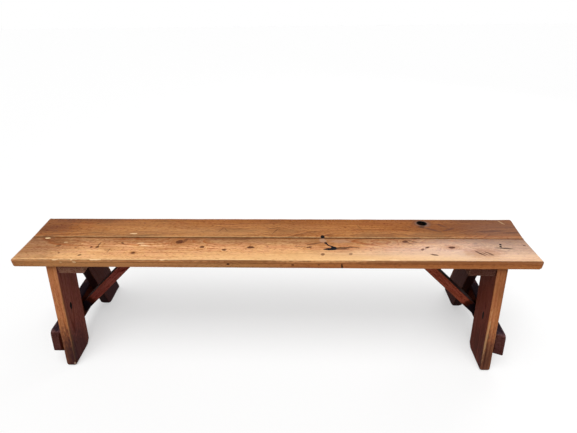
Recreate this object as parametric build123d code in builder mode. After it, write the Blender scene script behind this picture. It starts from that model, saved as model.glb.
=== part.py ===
from build123d import *
import os
from math import cos, radians, sin, tan

# Millimetres. X runs along the bench, -Y is the front, Z is up, and the origin lies on the floor
# under the middle of the seat. A trestle's side is -1 on the left and 1 on the right, and a
# leg's end is -1 at the front and 1 at the rear.
left, right = -1, 1
front, rear = -1, 1

# Seat: two planks side by side, with ends sawn a little out of square
seat_length = 1830
seat_width = 270
seat_height = 448
plank_thickness = 28.5
seam_gap = 2
seam_offset = 3.5
left_end_slant = 3
right_end_slant = 9
plank_corner_radius = 8
plank_nose_radius = 4.5
plank_under_arris = 2
seam_arris = 0.8

# Hole in the rear plank where a knot has dropped out, tapered and stopping in the wood
knot_length = 35
knot_breadth = 28
knot_depth = 17
knot_taper = 4.5
knot_from_right_end = 350
knot_from_back_edge = 35
knot_turn = -14

# Splayed legs, one board each
leg_thickness = 37
leg_top_gap = 10.4
leg_splay = 13.6
leg_setback = 12.5
leg_from_seat_end = 109
leg_toe_radius = 7
leg_heel_radius = 20
leg_arris = 2.5

# Cleats under the seat, flat against the inner faces of the legs
cleat_width = 91.5
cleat_thickness = 41
cleat_arris = 3

# Foot rails, flat against the outer faces of the legs, with ends that lean as the legs do
rail_thickness = 37
rail_height = 89
rail_lift = 63.5
rail_proud = 2
rail_top_radius = 14
rail_foot_radius = 12
rail_arris = 2.5
right_rail_skew = 16

# Braces, mitred under the seat and against the inner faces of the foot rails
brace_width = 36
brace_depth = 35
brace_slope = 45
brace_rise = 13
brace_arris = 2

# Countersunk wood screws
screw_diameter = 5.2
screw_head_diameter = 10.2
screw_head_angle = 90
screw_point_length = 8
screw_clearance = 0.15
screw_sink = 0.4

# Wood left uncut past a screw's point, and the shelf that a brace's head screws pull against
point_cover = 8
brace_shelf = 17
pocket_ease = 0.5

# Places of the screws, as shares of the piece that they hold
leg_screw_shares = (0.34, 0.78)
leg_bite_share = 0.44
rail_screw_shares = ((0.30, 0.70), (0.70, 0.30))
seat_screw_shares = (0.26, 0.74)
seat_row_share = 0.28
brace_foot_share = 0.73
brace_head_share = 0.62
brace_pair_share = 0.27

# Levels and faces that follow from the sizes above
half_length = seat_length / 2
half_width = seat_width / 2
seat_underside = seat_height - plank_thickness
seam_front = seam_offset - seam_gap / 2
seam_rear = seam_offset + seam_gap / 2
front_plank_width = seam_front + half_width
rear_plank_width = half_width - seam_rear

leg_outer_face = half_length - leg_from_seat_end
leg_inner_face = leg_outer_face - leg_thickness
leg_level_width = half_width - leg_setback - leg_top_gap / 2

cleat_inner_face = leg_inner_face - cleat_width
cleat_underside = seat_underside - cleat_thickness
cleat_reach = half_width - leg_setback

rail_outer_face = leg_outer_face + rail_thickness
rail_top = rail_lift + rail_height

brace_foot_low = rail_lift + brace_rise
brace_foot_high = brace_foot_low + brace_depth / cos(radians(brace_slope))
brace_head_low = leg_outer_face - (seat_underside - brace_foot_low) / tan(radians(brace_slope))
brace_head_high = brace_head_low + brace_depth / sin(radians(brace_slope))

screw_radius = screw_diameter / 2
screw_head_radius = screw_head_diameter / 2
screw_bore = screw_radius + screw_clearance
screw_sink_spread = screw_sink * tan(radians(screw_head_angle / 2))
screw_sink_radius = screw_head_radius + screw_clearance + screw_sink_spread
pocket_radius = screw_head_radius + screw_clearance + pocket_ease
plank_bite = plank_thickness - point_cover
leg_bite = leg_thickness - point_cover
cleat_bite = cleat_width * leg_bite_share


def leg_reach(level):
    """Distance from the bench's middle line to a leg's outer edge, at a height off the floor."""
    return half_width - leg_setback + (seat_underside - level) * tan(radians(leg_splay))


def broad_edges(piece):
    """Edges round the two broad faces of a board that stands square to X, but for its top."""
    faces = piece.faces().sort_by(Axis.X)
    edges = faces[0].edges() + faces[-1].edges()
    return ShapeList(e for e in edges if e.center().Z < seat_underside - leg_arris)


def side_name(side):
    """The word that a node's name starts with."""
    return "left" if side == left else "right"


def save(piece, name):
    """Label a finished piece and write its STEP file."""
    piece.label = name
    export_step(piece, f"parts/{name}.step")


# Screw places: each is a plane on the face that the head lies in, looking out of that face
def leg_screw_planes(side, end):
    """Two screws, one above the other's end grain, from a leg's outer face into the cleat."""
    level = (cleat_underside + seat_underside) / 2
    reaches = [leg_reach(level) - share * leg_level_width for share in leg_screw_shares]
    return [Plane((side * leg_outer_face, end * reach, level), z_dir=(side, 0, 0)) for reach in reaches]


def rail_screw_planes(side, end):
    """Two screws on a slant, from the foot rail's outer face into a leg."""
    planes = []
    for across_share, height_share in rail_screw_shares:
        level = rail_lift + height_share * rail_height
        reach = leg_reach(level) - across_share * leg_level_width
        planes.append(Plane((side * rail_outer_face, end * reach, level), z_dir=(side, 0, 0)))
    return planes


def brace_foot_plane(side):
    """One screw from the foot rail's outer face into the end of the brace."""
    level = brace_foot_low + brace_foot_share * (brace_foot_high - brace_foot_low)
    return Plane((side * rail_outer_face, seam_offset, level), z_dir=(side, 0, 0))


def brace_head_planes(side):
    """Two upright screws on the brace's shelf, one into each plank."""
    along = side * (brace_head_low + brace_head_share * (brace_head_high - brace_head_low))
    spread = brace_pair_share * brace_width
    level = seat_underside - brace_shelf
    return [Plane((along, seam_offset + way * spread, level), z_dir=(0, 0, -1)) for way in (front, rear)]


def seat_screw_planes(side, plank_start, plank_width):
    """Two upright screws from a cleat's underside into one plank."""
    along = side * (cleat_inner_face + seat_row_share * cleat_width)
    places = [plank_start + share * plank_width for share in seat_screw_shares]
    return [Plane((along, place, cleat_underside), z_dir=(0, 0, -1)) for place in places]


def front_seat_screws(side):
    """The seat screws at one side that go into the front plank."""
    return seat_screw_planes(side, -half_width, front_plank_width)


def rear_seat_screws(side):
    """The seat screws at one side that go into the rear plank."""
    return seat_screw_planes(side, seam_rear, rear_plank_width)


def seat_plank(end, screw_planes):
    """One plank of the seat with a worn nose. The rear one has the hole that a knot left."""
    outer = end * half_width
    seam = seam_front if end == front else seam_rear
    with BuildPart() as plank:
        with BuildSketch(Plane.XY.offset(seat_underside)):
            with BuildLine():
                Polyline(
                    (-half_length, outer),
                    (half_length, outer),
                    (half_length - right_end_slant, seam),
                    (-half_length + left_end_slant, seam),
                    close=True,
                )
            make_face()
        extrude(amount=plank_thickness)
        upright = plank.edges().filter_by(Axis.Z).sort_by(Axis.Y)
        fillet(upright[:2] if end == front else upright[-2:], plank_corner_radius)
        top_edges = plank.edges().group_by(Axis.Z)[-1].sort_by(Axis.Y)
        seam_edge = top_edges[-1] if end == front else top_edges[0]
        fillet(ShapeList(e for e in top_edges if e != seam_edge), plank_nose_radius)
        low_edges = plank.edges().group_by(Axis.Z)[0].sort_by(Axis.Y)
        chamfer(low_edges[:-1] if end == front else low_edges[1:], plank_under_arris)
        long_edges = plank.edges().filter_by(Axis.X).group_by(Axis.Z)[-1].sort_by(Axis.Y)
        chamfer(long_edges[-1] if end == front else long_edges[0], seam_arris)
        with Locations(*screw_planes):
            Hole(screw_bore, depth=plank_bite + screw_clearance)
        if end == rear:
            spot = (half_length - knot_from_right_end, half_width - knot_from_back_edge)
            for level, taper in ((seat_height, 0), (seat_height - knot_depth, knot_taper)):
                with BuildSketch(Plane.XY.offset(level)):
                    with Locations(Location(spot, knot_turn)):
                        Ellipse(knot_length / 2 - taper, knot_breadth / 2 - taper)
            loft(mode=Mode.SUBTRACT)
    return plank.part


def level_with(planes, level):
    """The same upright screw places, moved to another height."""
    return [Plane((p.origin.X, p.origin.Y, level), z_dir=p.z_dir) for p in planes]


def faced_at(planes, along):
    """The same level screw places, moved along the bench to another face."""
    return [Plane((along, p.origin.Y, p.origin.Z), z_dir=p.z_dir) for p in planes]


def leg(side, end):
    """One splayed leg, cut level at the seat and at the floor."""
    with BuildPart() as board:
        with BuildSketch(Plane.YZ.offset(side * leg_inner_face)) as outline:
            with BuildLine():
                Polyline(
                    (end * leg_reach(0), 0),
                    (end * leg_reach(seat_underside), seat_underside),
                    (end * (leg_reach(seat_underside) - leg_level_width), seat_underside),
                    (end * (leg_reach(0) - leg_level_width), 0),
                    close=True,
                )
            make_face()
            sole = outline.vertices().group_by(Axis.Y)[0].sort_by(Axis.X)
            toe, heel = (sole[0], sole[-1]) if end == front else (sole[-1], sole[0])
            fillet(toe, leg_toe_radius)
            fillet(heel, leg_heel_radius)
        extrude(amount=side * leg_thickness)
        chamfer(broad_edges(board), leg_arris)
        with Locations(*leg_screw_planes(side, end)):
            CounterSinkHole(screw_bore, screw_sink_radius, leg_thickness, screw_head_angle)
        with Locations(*faced_at(rail_screw_planes(side, end), side * leg_outer_face)):
            Hole(screw_bore, depth=leg_bite + screw_clearance)
    return board.part


def cleat(side):
    """A batten across both planks, screwed up into them, with the legs screwed to its edge."""
    seat_planes = front_seat_screws(side) + rear_seat_screws(side)
    leg_planes = leg_screw_planes(side, front) + leg_screw_planes(side, rear)
    with BuildPart() as batten:
        with BuildSketch(Plane.XY.offset(cleat_underside)):
            with Locations((side * (cleat_inner_face + cleat_width / 2), 0)):
                Rectangle(cleat_width, 2 * cleat_reach)
        extrude(amount=cleat_thickness)
        chamfer(batten.edges().group_by(Axis.Z)[0], cleat_arris)
        with Locations(*seat_planes):
            CounterSinkHole(screw_bore, screw_sink_radius, cleat_thickness, screw_head_angle)
        with Locations(*faced_at(leg_planes, side * leg_inner_face)):
            Hole(screw_bore, depth=cleat_bite + screw_clearance)
    return batten.part


def foot_rail(side):
    """The low rail outside a pair of legs. The right one's front end is sawn askew."""
    with BuildPart() as board:
        with BuildSketch(Plane.YZ.offset(side * leg_outer_face)):
            with BuildLine():
                Polyline(
                    (-leg_reach(rail_lift) - rail_proud, rail_lift),
                    (leg_reach(rail_lift) + rail_proud, rail_lift),
                    (leg_reach(rail_top) + rail_proud, rail_top),
                    (-leg_reach(rail_top) - rail_proud, rail_top),
                    close=True,
                )
            make_face()
        extrude(amount=side * rail_thickness)
        if side == right:
            low_corner = Vector(rail_outer_face, -leg_reach(rail_lift) - rail_proud, rail_lift)
            up_the_end = Vector(0, leg_reach(rail_lift) - leg_reach(rail_top), rail_height)
            across_the_end = Vector(-rail_thickness, right_rail_skew, 0)
            split(bisect_by=Plane(low_corner, x_dir=up_the_end, z_dir=across_the_end.cross(up_the_end)))
        level_edges = board.edges().filter_by(Axis.Y, reverse=True).group_by(Axis.Z)
        fillet(level_edges[-1], rail_top_radius)
        fillet(level_edges[0], rail_foot_radius)
        chamfer(broad_edges(board), rail_arris)
        planes = rail_screw_planes(side, front) + rail_screw_planes(side, rear) + [brace_foot_plane(side)]
        with Locations(*planes):
            CounterSinkHole(screw_bore, screw_sink_radius, rail_thickness, screw_head_angle)
    return board.part


def brace(side):
    """The diagonal from the foot rail up to the seat, between the legs, under the seam."""
    with BuildPart() as bar:
        with BuildSketch(Plane.XZ.offset(-seam_offset)):
            with BuildLine():
                Polyline(
                    (side * leg_outer_face, brace_foot_low),
                    (side * leg_outer_face, brace_foot_high),
                    (side * brace_head_high, seat_underside),
                    (side * brace_head_low, seat_underside),
                    close=True,
                )
            make_face()
        extrude(amount=brace_width / 2, both=True)
        chamfer(bar.edges().sort_by(SortBy.LENGTH)[-4:], brace_arris)
        with Locations(*faced_at([brace_foot_plane(side)], side * leg_outer_face)):
            Hole(screw_bore, depth=leg_bite + screw_clearance)
        with Locations(*brace_head_planes(side)):
            CounterSinkHole(screw_bore, screw_sink_radius, brace_shelf, screw_head_angle)
            upward = (Align.CENTER, Align.CENTER, Align.MIN)
            Cylinder(pocket_radius, seat_underside - brace_foot_low, align=upward, mode=Mode.SUBTRACT)
    return bar.part


def wood_screw(length):
    """One screw, its head's face at the origin and its point down the Z axis."""
    neck = (screw_head_radius - screw_radius) / tan(radians(screw_head_angle / 2))
    with BuildPart() as screw:
        with BuildSketch(Plane.XZ):
            with BuildLine():
                Polyline(
                    (0, 0),
                    (screw_head_radius, 0),
                    (screw_radius, -neck),
                    (screw_radius, screw_point_length - length),
                    (0, -length),
                    close=True,
                )
            make_face()
        revolve(axis=Axis.Z)
    return screw.part


def screw_group(planes, through, bite):
    """Alike screws, each sunk under its face, through one piece and into the next."""
    with BuildPart() as group:
        with Locations(*[plane.offset(-screw_sink) for plane in planes]):
            add(wood_screw(through + bite - screw_sink))
    return group.part


os.makedirs("parts", exist_ok=True)

# Seat planks: each takes the seat screws and one of every brace's two head screws
for end, name, cleat_screws in (
    (front, "front_seat_plank", front_seat_screws),
    (rear, "rear_seat_plank", rear_seat_screws),
):
    places = []
    for side in (left, right):
        places += cleat_screws(side)
        places.append(brace_head_planes(side)[0 if end == front else 1])
    save(seat_plank(end, level_with(places, seat_underside)), name)

# Trestles: the same pieces at both ends of the bench
for side in (left, right):
    save(leg(side, front), f"{side_name(side)}_front_leg")
    save(leg(side, rear), f"{side_name(side)}_rear_leg")
    save(cleat(side), f"{side_name(side)}_seat_cleat")
    save(foot_rail(side), f"{side_name(side)}_foot_rail")
    save(brace(side), f"{side_name(side)}_brace")

    leg_places = leg_screw_planes(side, front) + leg_screw_planes(side, rear)
    rail_places = rail_screw_planes(side, front) + rail_screw_planes(side, rear)
    seat_places = front_seat_screws(side) + rear_seat_screws(side)
    save(screw_group(leg_places, leg_thickness, cleat_bite), f"{side_name(side)}_leg_screws")
    save(screw_group(rail_places, rail_thickness, leg_bite), f"{side_name(side)}_rail_screws")
    save(screw_group(seat_places, cleat_thickness, plank_bite), f"{side_name(side)}_seat_screws")
    save(screw_group([brace_foot_plane(side)], rail_thickness, leg_bite), f"{side_name(side)}_brace_foot_screw")
    save(screw_group(brace_head_planes(side), brace_shelf, plank_bite), f"{side_name(side)}_brace_head_screws")
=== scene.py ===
"""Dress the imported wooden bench: worn pine boards, slotted screws, a soft studio and the photo's camera.

Lengths in this file are millimetres unless a name ends in _m. Each board is made in its own frame, with X
along the grain, Y across the board and Z through its thickness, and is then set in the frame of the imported
model. Seeds are arbitrary numbers that only keep the patterns of two boards apart.
"""

import logging
import math
from collections.abc import Callable, Iterable, Sequence
from dataclasses import dataclass, field, replace
from enum import Enum
from typing import Any

import bpy
import numpy as np
from bpy.types import ID, Light, Material, Mesh, Node, NodeSocket as Socket, NodeTree as Tree, Object, Scene
from mathutils import Matrix, Vector, noise


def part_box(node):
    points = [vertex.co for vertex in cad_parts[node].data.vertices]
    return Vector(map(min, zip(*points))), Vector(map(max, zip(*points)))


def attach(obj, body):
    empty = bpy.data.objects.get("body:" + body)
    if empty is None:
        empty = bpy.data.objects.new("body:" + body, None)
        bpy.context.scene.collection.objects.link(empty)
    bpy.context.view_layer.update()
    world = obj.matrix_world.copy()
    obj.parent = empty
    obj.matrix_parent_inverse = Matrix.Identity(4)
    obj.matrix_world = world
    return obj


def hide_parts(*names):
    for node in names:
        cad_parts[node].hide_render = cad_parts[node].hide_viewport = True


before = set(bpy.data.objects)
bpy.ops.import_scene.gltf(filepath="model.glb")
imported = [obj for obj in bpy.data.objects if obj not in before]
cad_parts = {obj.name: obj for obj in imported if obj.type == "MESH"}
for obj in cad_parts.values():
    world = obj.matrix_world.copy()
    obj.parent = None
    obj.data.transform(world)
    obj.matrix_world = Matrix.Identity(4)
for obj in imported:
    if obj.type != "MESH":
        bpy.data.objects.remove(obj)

LOG = logging.getLogger("bench")
MM = 0.001
BODY = "root"

# Sockets of Blender's Mix node for colours, which have the same names as those for numbers
FACTOR, COLOUR_A, COLOUR_B, COLOUR_OUT = 0, 6, 7, 2

# Middle of the levels that Blender's noise textures give
NOISE_MIDDLE = 0.5

Colour = tuple[float, float, float, float]
Array = np.ndarray


class Place(Enum):
    """A place on the bench, whose name is a part of its nodes' names."""

    @property
    def word(self) -> str:
        """The word for it in a node's name."""
        return self.name.lower()


class Side(Place):
    """An end of the bench, as the sign of X there."""

    LEFT = -1
    RIGHT = 1


class End(Place):
    """Front or rear, as the sign of Y there."""

    FRONT = -1
    REAR = 1


class Face(Enum):
    """A face of a board, in the board's own frame."""

    TOP = "top"
    UNDER = "under"
    NEAR = "near"
    FAR = "far"


class MarkKind(Enum):
    """What a mark on a board is."""

    KNOT = "knot"
    HALO = "halo"
    SWIRL = "swirl"
    DENT = "dent"
    CHIP = "chip"
    CRACK = "crack"
    INK = "ink"
    # Brown stains, and painted shadow, such as the strips on the front plank's rounded nose
    SHADE = "shade"
    # Paler patches, and painted highlights, such as along the front plank's nose and on its front face
    GLOW = "glow"
    RESIN = "resin"
    BLOOM = "bloom"
    HOLE = "hole"
    # Dark dirt in the seam, and painted shadow on the rails' inner faces and at the braces' feet
    GRIME = "grime"
    RUB = "rub"
    # Soft dark smudges, and painted shadow that darkens the legs towards the floor and the rails' tops
    DIRT = "dirt"
    # Painted shadow on the rails' tops and at the braces' feet, under the seat
    SOOT = "soot"
    # A painted sheen, which pales the right end of the seat
    FADED = "faded"


@dataclass(frozen=True)
class MarkLook:
    """How one kind of mark shows.

    Attributes:
        colour: sRGB hex of the mark.
        strength: How far the mark's colour covers the wood, from 0 to 1.
        softness: Width of the mark's fading rim, as a share of its half size.
        raggedness: How far noise moves the rim, as a share of the half size.
        reach: Depth to which the mark goes into the board.
        dip: Depth of the hollow that the mark leaves in the surface.
        lift: How far the mark pushes the growth rings aside.
    """

    colour: str
    strength: float
    softness: float
    raggedness: float
    reach: float
    dip: float = 0.0
    lift: float = 0.0


MARK_LOOKS = {
    MarkKind.KNOT: MarkLook("#4a1c0e", 0.9, 0.4, 0.55, 90.0, 0.3, 9.0),
    MarkKind.HALO: MarkLook("#a4602f", 0.42, 1.0, 0.8, 90.0, 0.0, 5.0),
    MarkKind.SWIRL: MarkLook("#8a5228", 0.22, 1.0, 1.2, 90.0, 0.0, 12.0),
    MarkKind.DENT: MarkLook("#40190a", 0.85, 0.6, 0.6, 3.0, 0.6),
    MarkKind.CHIP: MarkLook("#ffd9a6", 0.85, 0.3, 0.9, 3.0, 0.5),
    MarkKind.CRACK: MarkLook("#1d0d07", 0.95, 0.6, 0.55, 5.0, 1.0),
    MarkKind.INK: MarkLook("#05070f", 1.0, 0.3, 0.35, 4.0),
    MarkKind.SHADE: MarkLook("#74431f", 0.5, 1.2, 0.7, 12.0),
    MarkKind.GLOW: MarkLook("#ffce90", 0.45, 1.2, 0.7, 12.0),
    MarkKind.RESIN: MarkLook("#e08a52", 0.5, 1.0, 0.7, 12.0),
    MarkKind.BLOOM: MarkLook("#c8a894", 0.6, 0.5, 0.8, 4.0),
    MarkKind.HOLE: MarkLook("#040201", 1.0, 0.25, 0.25, 22.0),
    MarkKind.GRIME: MarkLook("#44190a", 0.95, 0.4, 0.3, 9.0),
    MarkKind.RUB: MarkLook("#ffd69c", 0.65, 0.9, 1.3, 5.0),
    MarkKind.DIRT: MarkLook("#382126", 0.5, 1.0, 0.6, 25.0),
    MarkKind.SOOT: MarkLook("#14101a", 0.92, 0.5, 0.4, 9.0),
    MarkKind.FADED: MarkLook("#e8dcd8", 0.5, 1.4, 0.3, 7.0),
}

# How far a mark pushes the growth rings aside, in half sizes of the mark
LIFT_REACH = 3.2


@dataclass(frozen=True)
class Mark:
    """One mark on a face of a board, with its place in the board's own frame.

    Attributes:
        kind: What the mark is.
        along: Place along the grain.
        across: Place across the face.
        length: Size along the grain before any turn.
        breadth: Size across the face before any turn.
        weight: Factor on the strength of its kind.
        turn: Degrees by which the mark is turned in its face.
        face: The face that it lies on.
    """

    kind: MarkKind
    along: float
    across: float
    length: float
    breadth: float
    weight: float = 1.0
    turn: float = 0.0
    face: Face = Face.TOP

    @property
    def spread(self) -> float:
        """How far from its middle, along the board, the mark still changes anything.

        Returns:
            The distance.
        """
        look = MARK_LOOKS[self.kind]
        shares = 1.0 + look.softness / 2 + look.raggedness
        return max(self.length, self.breadth) / 2 * max(shares, LIFT_REACH if look.lift else 0.0)

    def moved(self, across: float) -> "Mark":
        """The same mark, moved across its face."""
        return replace(self, across=self.across + across)


# Rows of marks by their kind, each as place along, place across, length and breadth, and then weight and
# turn where they aren't 1 and 0
MarkTable = dict[MarkKind, list[tuple[float, ...]]]


def linear(code: str) -> Colour:
    """Turn an sRGB hex colour into the linear one that a shader takes.

    Args:
        code: The colour, such as "#c08040".

    Returns:
        Red, green, blue and a full alpha.
    """
    shares = [int(code[place : place + 2], 16) / 255 for place in (1, 3, 5)]
    # The curve of the sRGB standard
    red, green, blue = (s / 12.92 if s <= 0.04045 else ((s + 0.055) / 1.055) ** 2.4 for s in shares)
    return red, green, blue, 1.0


def add_node(
    tree: Tree,
    kind: str,
    links: dict[int | str, Socket] | None = None,
    values: dict[int | str, Any] | None = None,
    stops: Sequence[tuple[float, Colour]] = (),
    **settings: Any,
) -> Node:
    """Add a node to a tree, with its settings, its values and what feeds it.

    Args:
        tree: The node tree.
        kind: Blender's name for the kind of node, without the ShaderNode at its start.
        links: The output that feeds each input.
        values: The value of each input that nothing feeds.
        stops: Places and colours along a colour ramp.
        settings: The node's own properties.

    Returns:
        The node.
    """
    made = tree.nodes.new(f"ShaderNode{kind}")
    for name, value in settings.items():
        setattr(made, name, value)
    for socket, value in (values or {}).items():
        made.inputs[socket].default_value = value
    for socket, source in (links or {}).items():
        tree.links.new(source, made.inputs[socket])
    if stops:
        elements = made.color_ramp.elements
        while len(elements) < len(stops):
            elements.new(1.0)
        for element, (place, colour) in zip(elements, stops):
            element.position = place
            element.color = colour
    return made


def parted(terms: dict[int, Any]) -> tuple[dict[int, Socket], dict[int, Any]]:
    """Part the terms of a node into the sockets that feed it and plain values, by the input's number."""
    links = {i: term for i, term in terms.items() if isinstance(term, Socket)}
    return links, {i: term for i, term in terms.items() if i not in links}


def blank_material(name: str) -> Material:
    """Make a material with an empty node tree.

    Args:
        name: The material's name.

    Returns:
        The material.
    """
    made = bpy.data.materials.new(name)
    made.use_nodes = True
    made.node_tree.nodes.clear()
    return made


def linked(name: str, data: ID) -> Object:
    """Make an object and put it in the scene.

    Args:
        name: The object's name.
        data: Its mesh, lamp or camera.

    Returns:
        The object.
    """
    made = bpy.data.objects.new(name, data)
    bpy.context.scene.collection.objects.link(made)
    return made


def grey(level: float) -> Colour:
    """A neutral colour of one linear level."""
    return level, level, level, 1.0


def stop(place: float, level: float) -> tuple[float, Colour]:
    """A stop of a ramp whose alpha is read as a plain number."""
    return place, (level, level, level, level)


@dataclass(frozen=True)
class Cloud:
    """One noise pattern of the pine.

    Attributes:
        sizes: Sizes of its lumps along, across and through the board.
        detail: Number of layers of finer noise.
        shift: Offset that keeps it apart from the other patterns.
    """

    sizes: tuple[float, float, float]
    detail: float = 2.0
    shift: float = 0.0


# Slow and quick bends of the growth rings, and the reach of the quick ones as a share of the slow ones
SLOW_BENDS = Cloud((420.0, 95.0, 95.0))
QUICK_BENDS = Cloud((85.0, 17.0, 17.0), 3.0, 7.3)
QUICK_REACH = 0.16
# Patches in which the late wood shows more or less
LATE_PATCHES = Cloud((260.0, 40.0, 40.0), 2.0, 3.1)
STREAKS = Cloud((240.0, 7.0, 7.0), 4.0, 11.7)
# Pine's fibres are under 0.05 mm wide. They are drawn 1.3 mm wide so that they show in the render
FIBRES = Cloud((130.0, 1.3, 1.3), 3.0, 31.3)
# Open pores and ground-in dirt are under 0.5 mm wide. They are drawn 4 mm wide so that they show
PORES = Cloud((13.0, 4.0, 4.0), 2.0, 61.3)
TINTS = Cloud((46.0, 20.0, 20.0), 2.0, 83.1)
PATINA = Cloud((190.0, 55.0, 55.0), 4.0, 23.9)
# Patches in which the varnish is rubbed off the arrises
RUBBING = Cloud((34.0, 9.0, 9.0), 3.0, 53.7)
RAGGED_RIMS = Cloud((16.0, 6.0, 6.0), 3.0, 41.1)
# Share of the coarser noise that each finer layer keeps
CLOUD_ROUGHNESS = 0.55
# The way in which a board's seed moves all its patterns
SEED_WAY = (1.0, 0.7, 0.4)

# Late wood through a year's growth, as places and levels
YEAR = ((0.0, 0.05), (0.3, 0.0), (0.72, 0.45), (0.9, 1.0), (1.0, 0.1))
# Years differ in width: how quickly that changes from year to year, and by how many years it moves a ring
YEAR_CHANGE, YEAR_SHIFT = 0.21, 3.5

# What multiplies the wood's colour in streaks, fibres, pores, warm and cool patches, and on the end grain
STREAK_TONE = "#b98a63"
FIBRE_TONE = "#c49a78"
PORE_TONE = "#a8703f"
WARM_TONE, COOL_TONE = "#fff9e4", "#fceceb"
END_GRAIN_TONE = "#a3785c"

# Height of the late wood and of the fibres over the surface, and how strongly the shading follows them
LATE_RELIEF, FIBRE_RELIEF = 0.05, 0.06
BUMP_STRENGTH = 0.8
# How much rougher the end grain is
END_GRAIN_ROUGHNESS = 0.15
VARNISH_IOR = 1.5
COAT_ROUGHNESS = 0.35


@dataclass(frozen=True)
class AgedPine:
    """Sawn and planed pine under old varnish, rubbed thin by use.

    To the eye it is warm wood whose dark late growth shows as soft lines, with darker knots, brown patches
    where varnish and dirt have stayed, and pale arrises where hands and clothes have worn it off.

    Attributes:
        top: sRGB hex of the early wood on the face at plus Z.
        edges: The same on the narrow sides and the ends.
        under: The same on the face at minus Z. On the trestles these three face tones also carry
        painted light and shade, such as the legs' darker inner faces.
        late: What the colour of the late wood is multiplied by, as sRGB hex.
        patina: sRGB hex of old varnish and dirt.
        patina_share: How much of the surface the patina takes, from 0 to 1.
        worn: sRGB hex of rubbed arrises.
        worn_share: How strongly the arrises are rubbed, from 0 to 1.
        ring_spacing: Width of a year's growth.
        pith: Place of the tree's heart across and through the board.
        drift: Slopes of the heart across and through the board, along its length.
        wander: How far the rings stray from straight.
        roughness: Least and most roughness. Waxed old varnish lies near 0.4 and bare pine near 0.65.
        flecks: How strongly dark pores show.
        gloss: Specular level, under the shader's usual 0.5 because the worn surface is full of open pores,
            and because reflections see the studio as plain white, about three times as bright as its light.
        end_grain: How far the end grain is darkened, from 0 to 1.
        sheen_coat: Weight of the clear coat that old varnish leaves.
        seed: Offset that gives each board its own pattern.
    """

    top: str
    edges: str
    under: str
    late: str = "#c09070"
    patina: str = "#6e3f22"
    patina_share: float = 0.35
    worn: str = "#f0c48c"
    worn_share: float = 0.3
    ring_spacing: float = 3.0
    pith: tuple[float, float] = (8.0, -46.0)
    drift: tuple[float, float] = (0.012, 0.02)
    wander: float = 10.0
    roughness: tuple[float, float] = (0.42, 0.62)
    flecks: float = 0.85
    gloss: float = 0.03
    end_grain: float = 0.75
    sheen_coat: float = 0.0
    seed: float = 0.0

    def material(self, name: str, marks: Sequence[Mark], board: "Board") -> Material:
        """Build the material for one board.

        Args:
            name: The material's name.
            marks: The board's marks.
            board: The board, whose sizes place the marks.

        Returns:
            The material.
        """
        made = blank_material(name)
        PineNodes(self, made.node_tree, marks, board).build()
        return made


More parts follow.
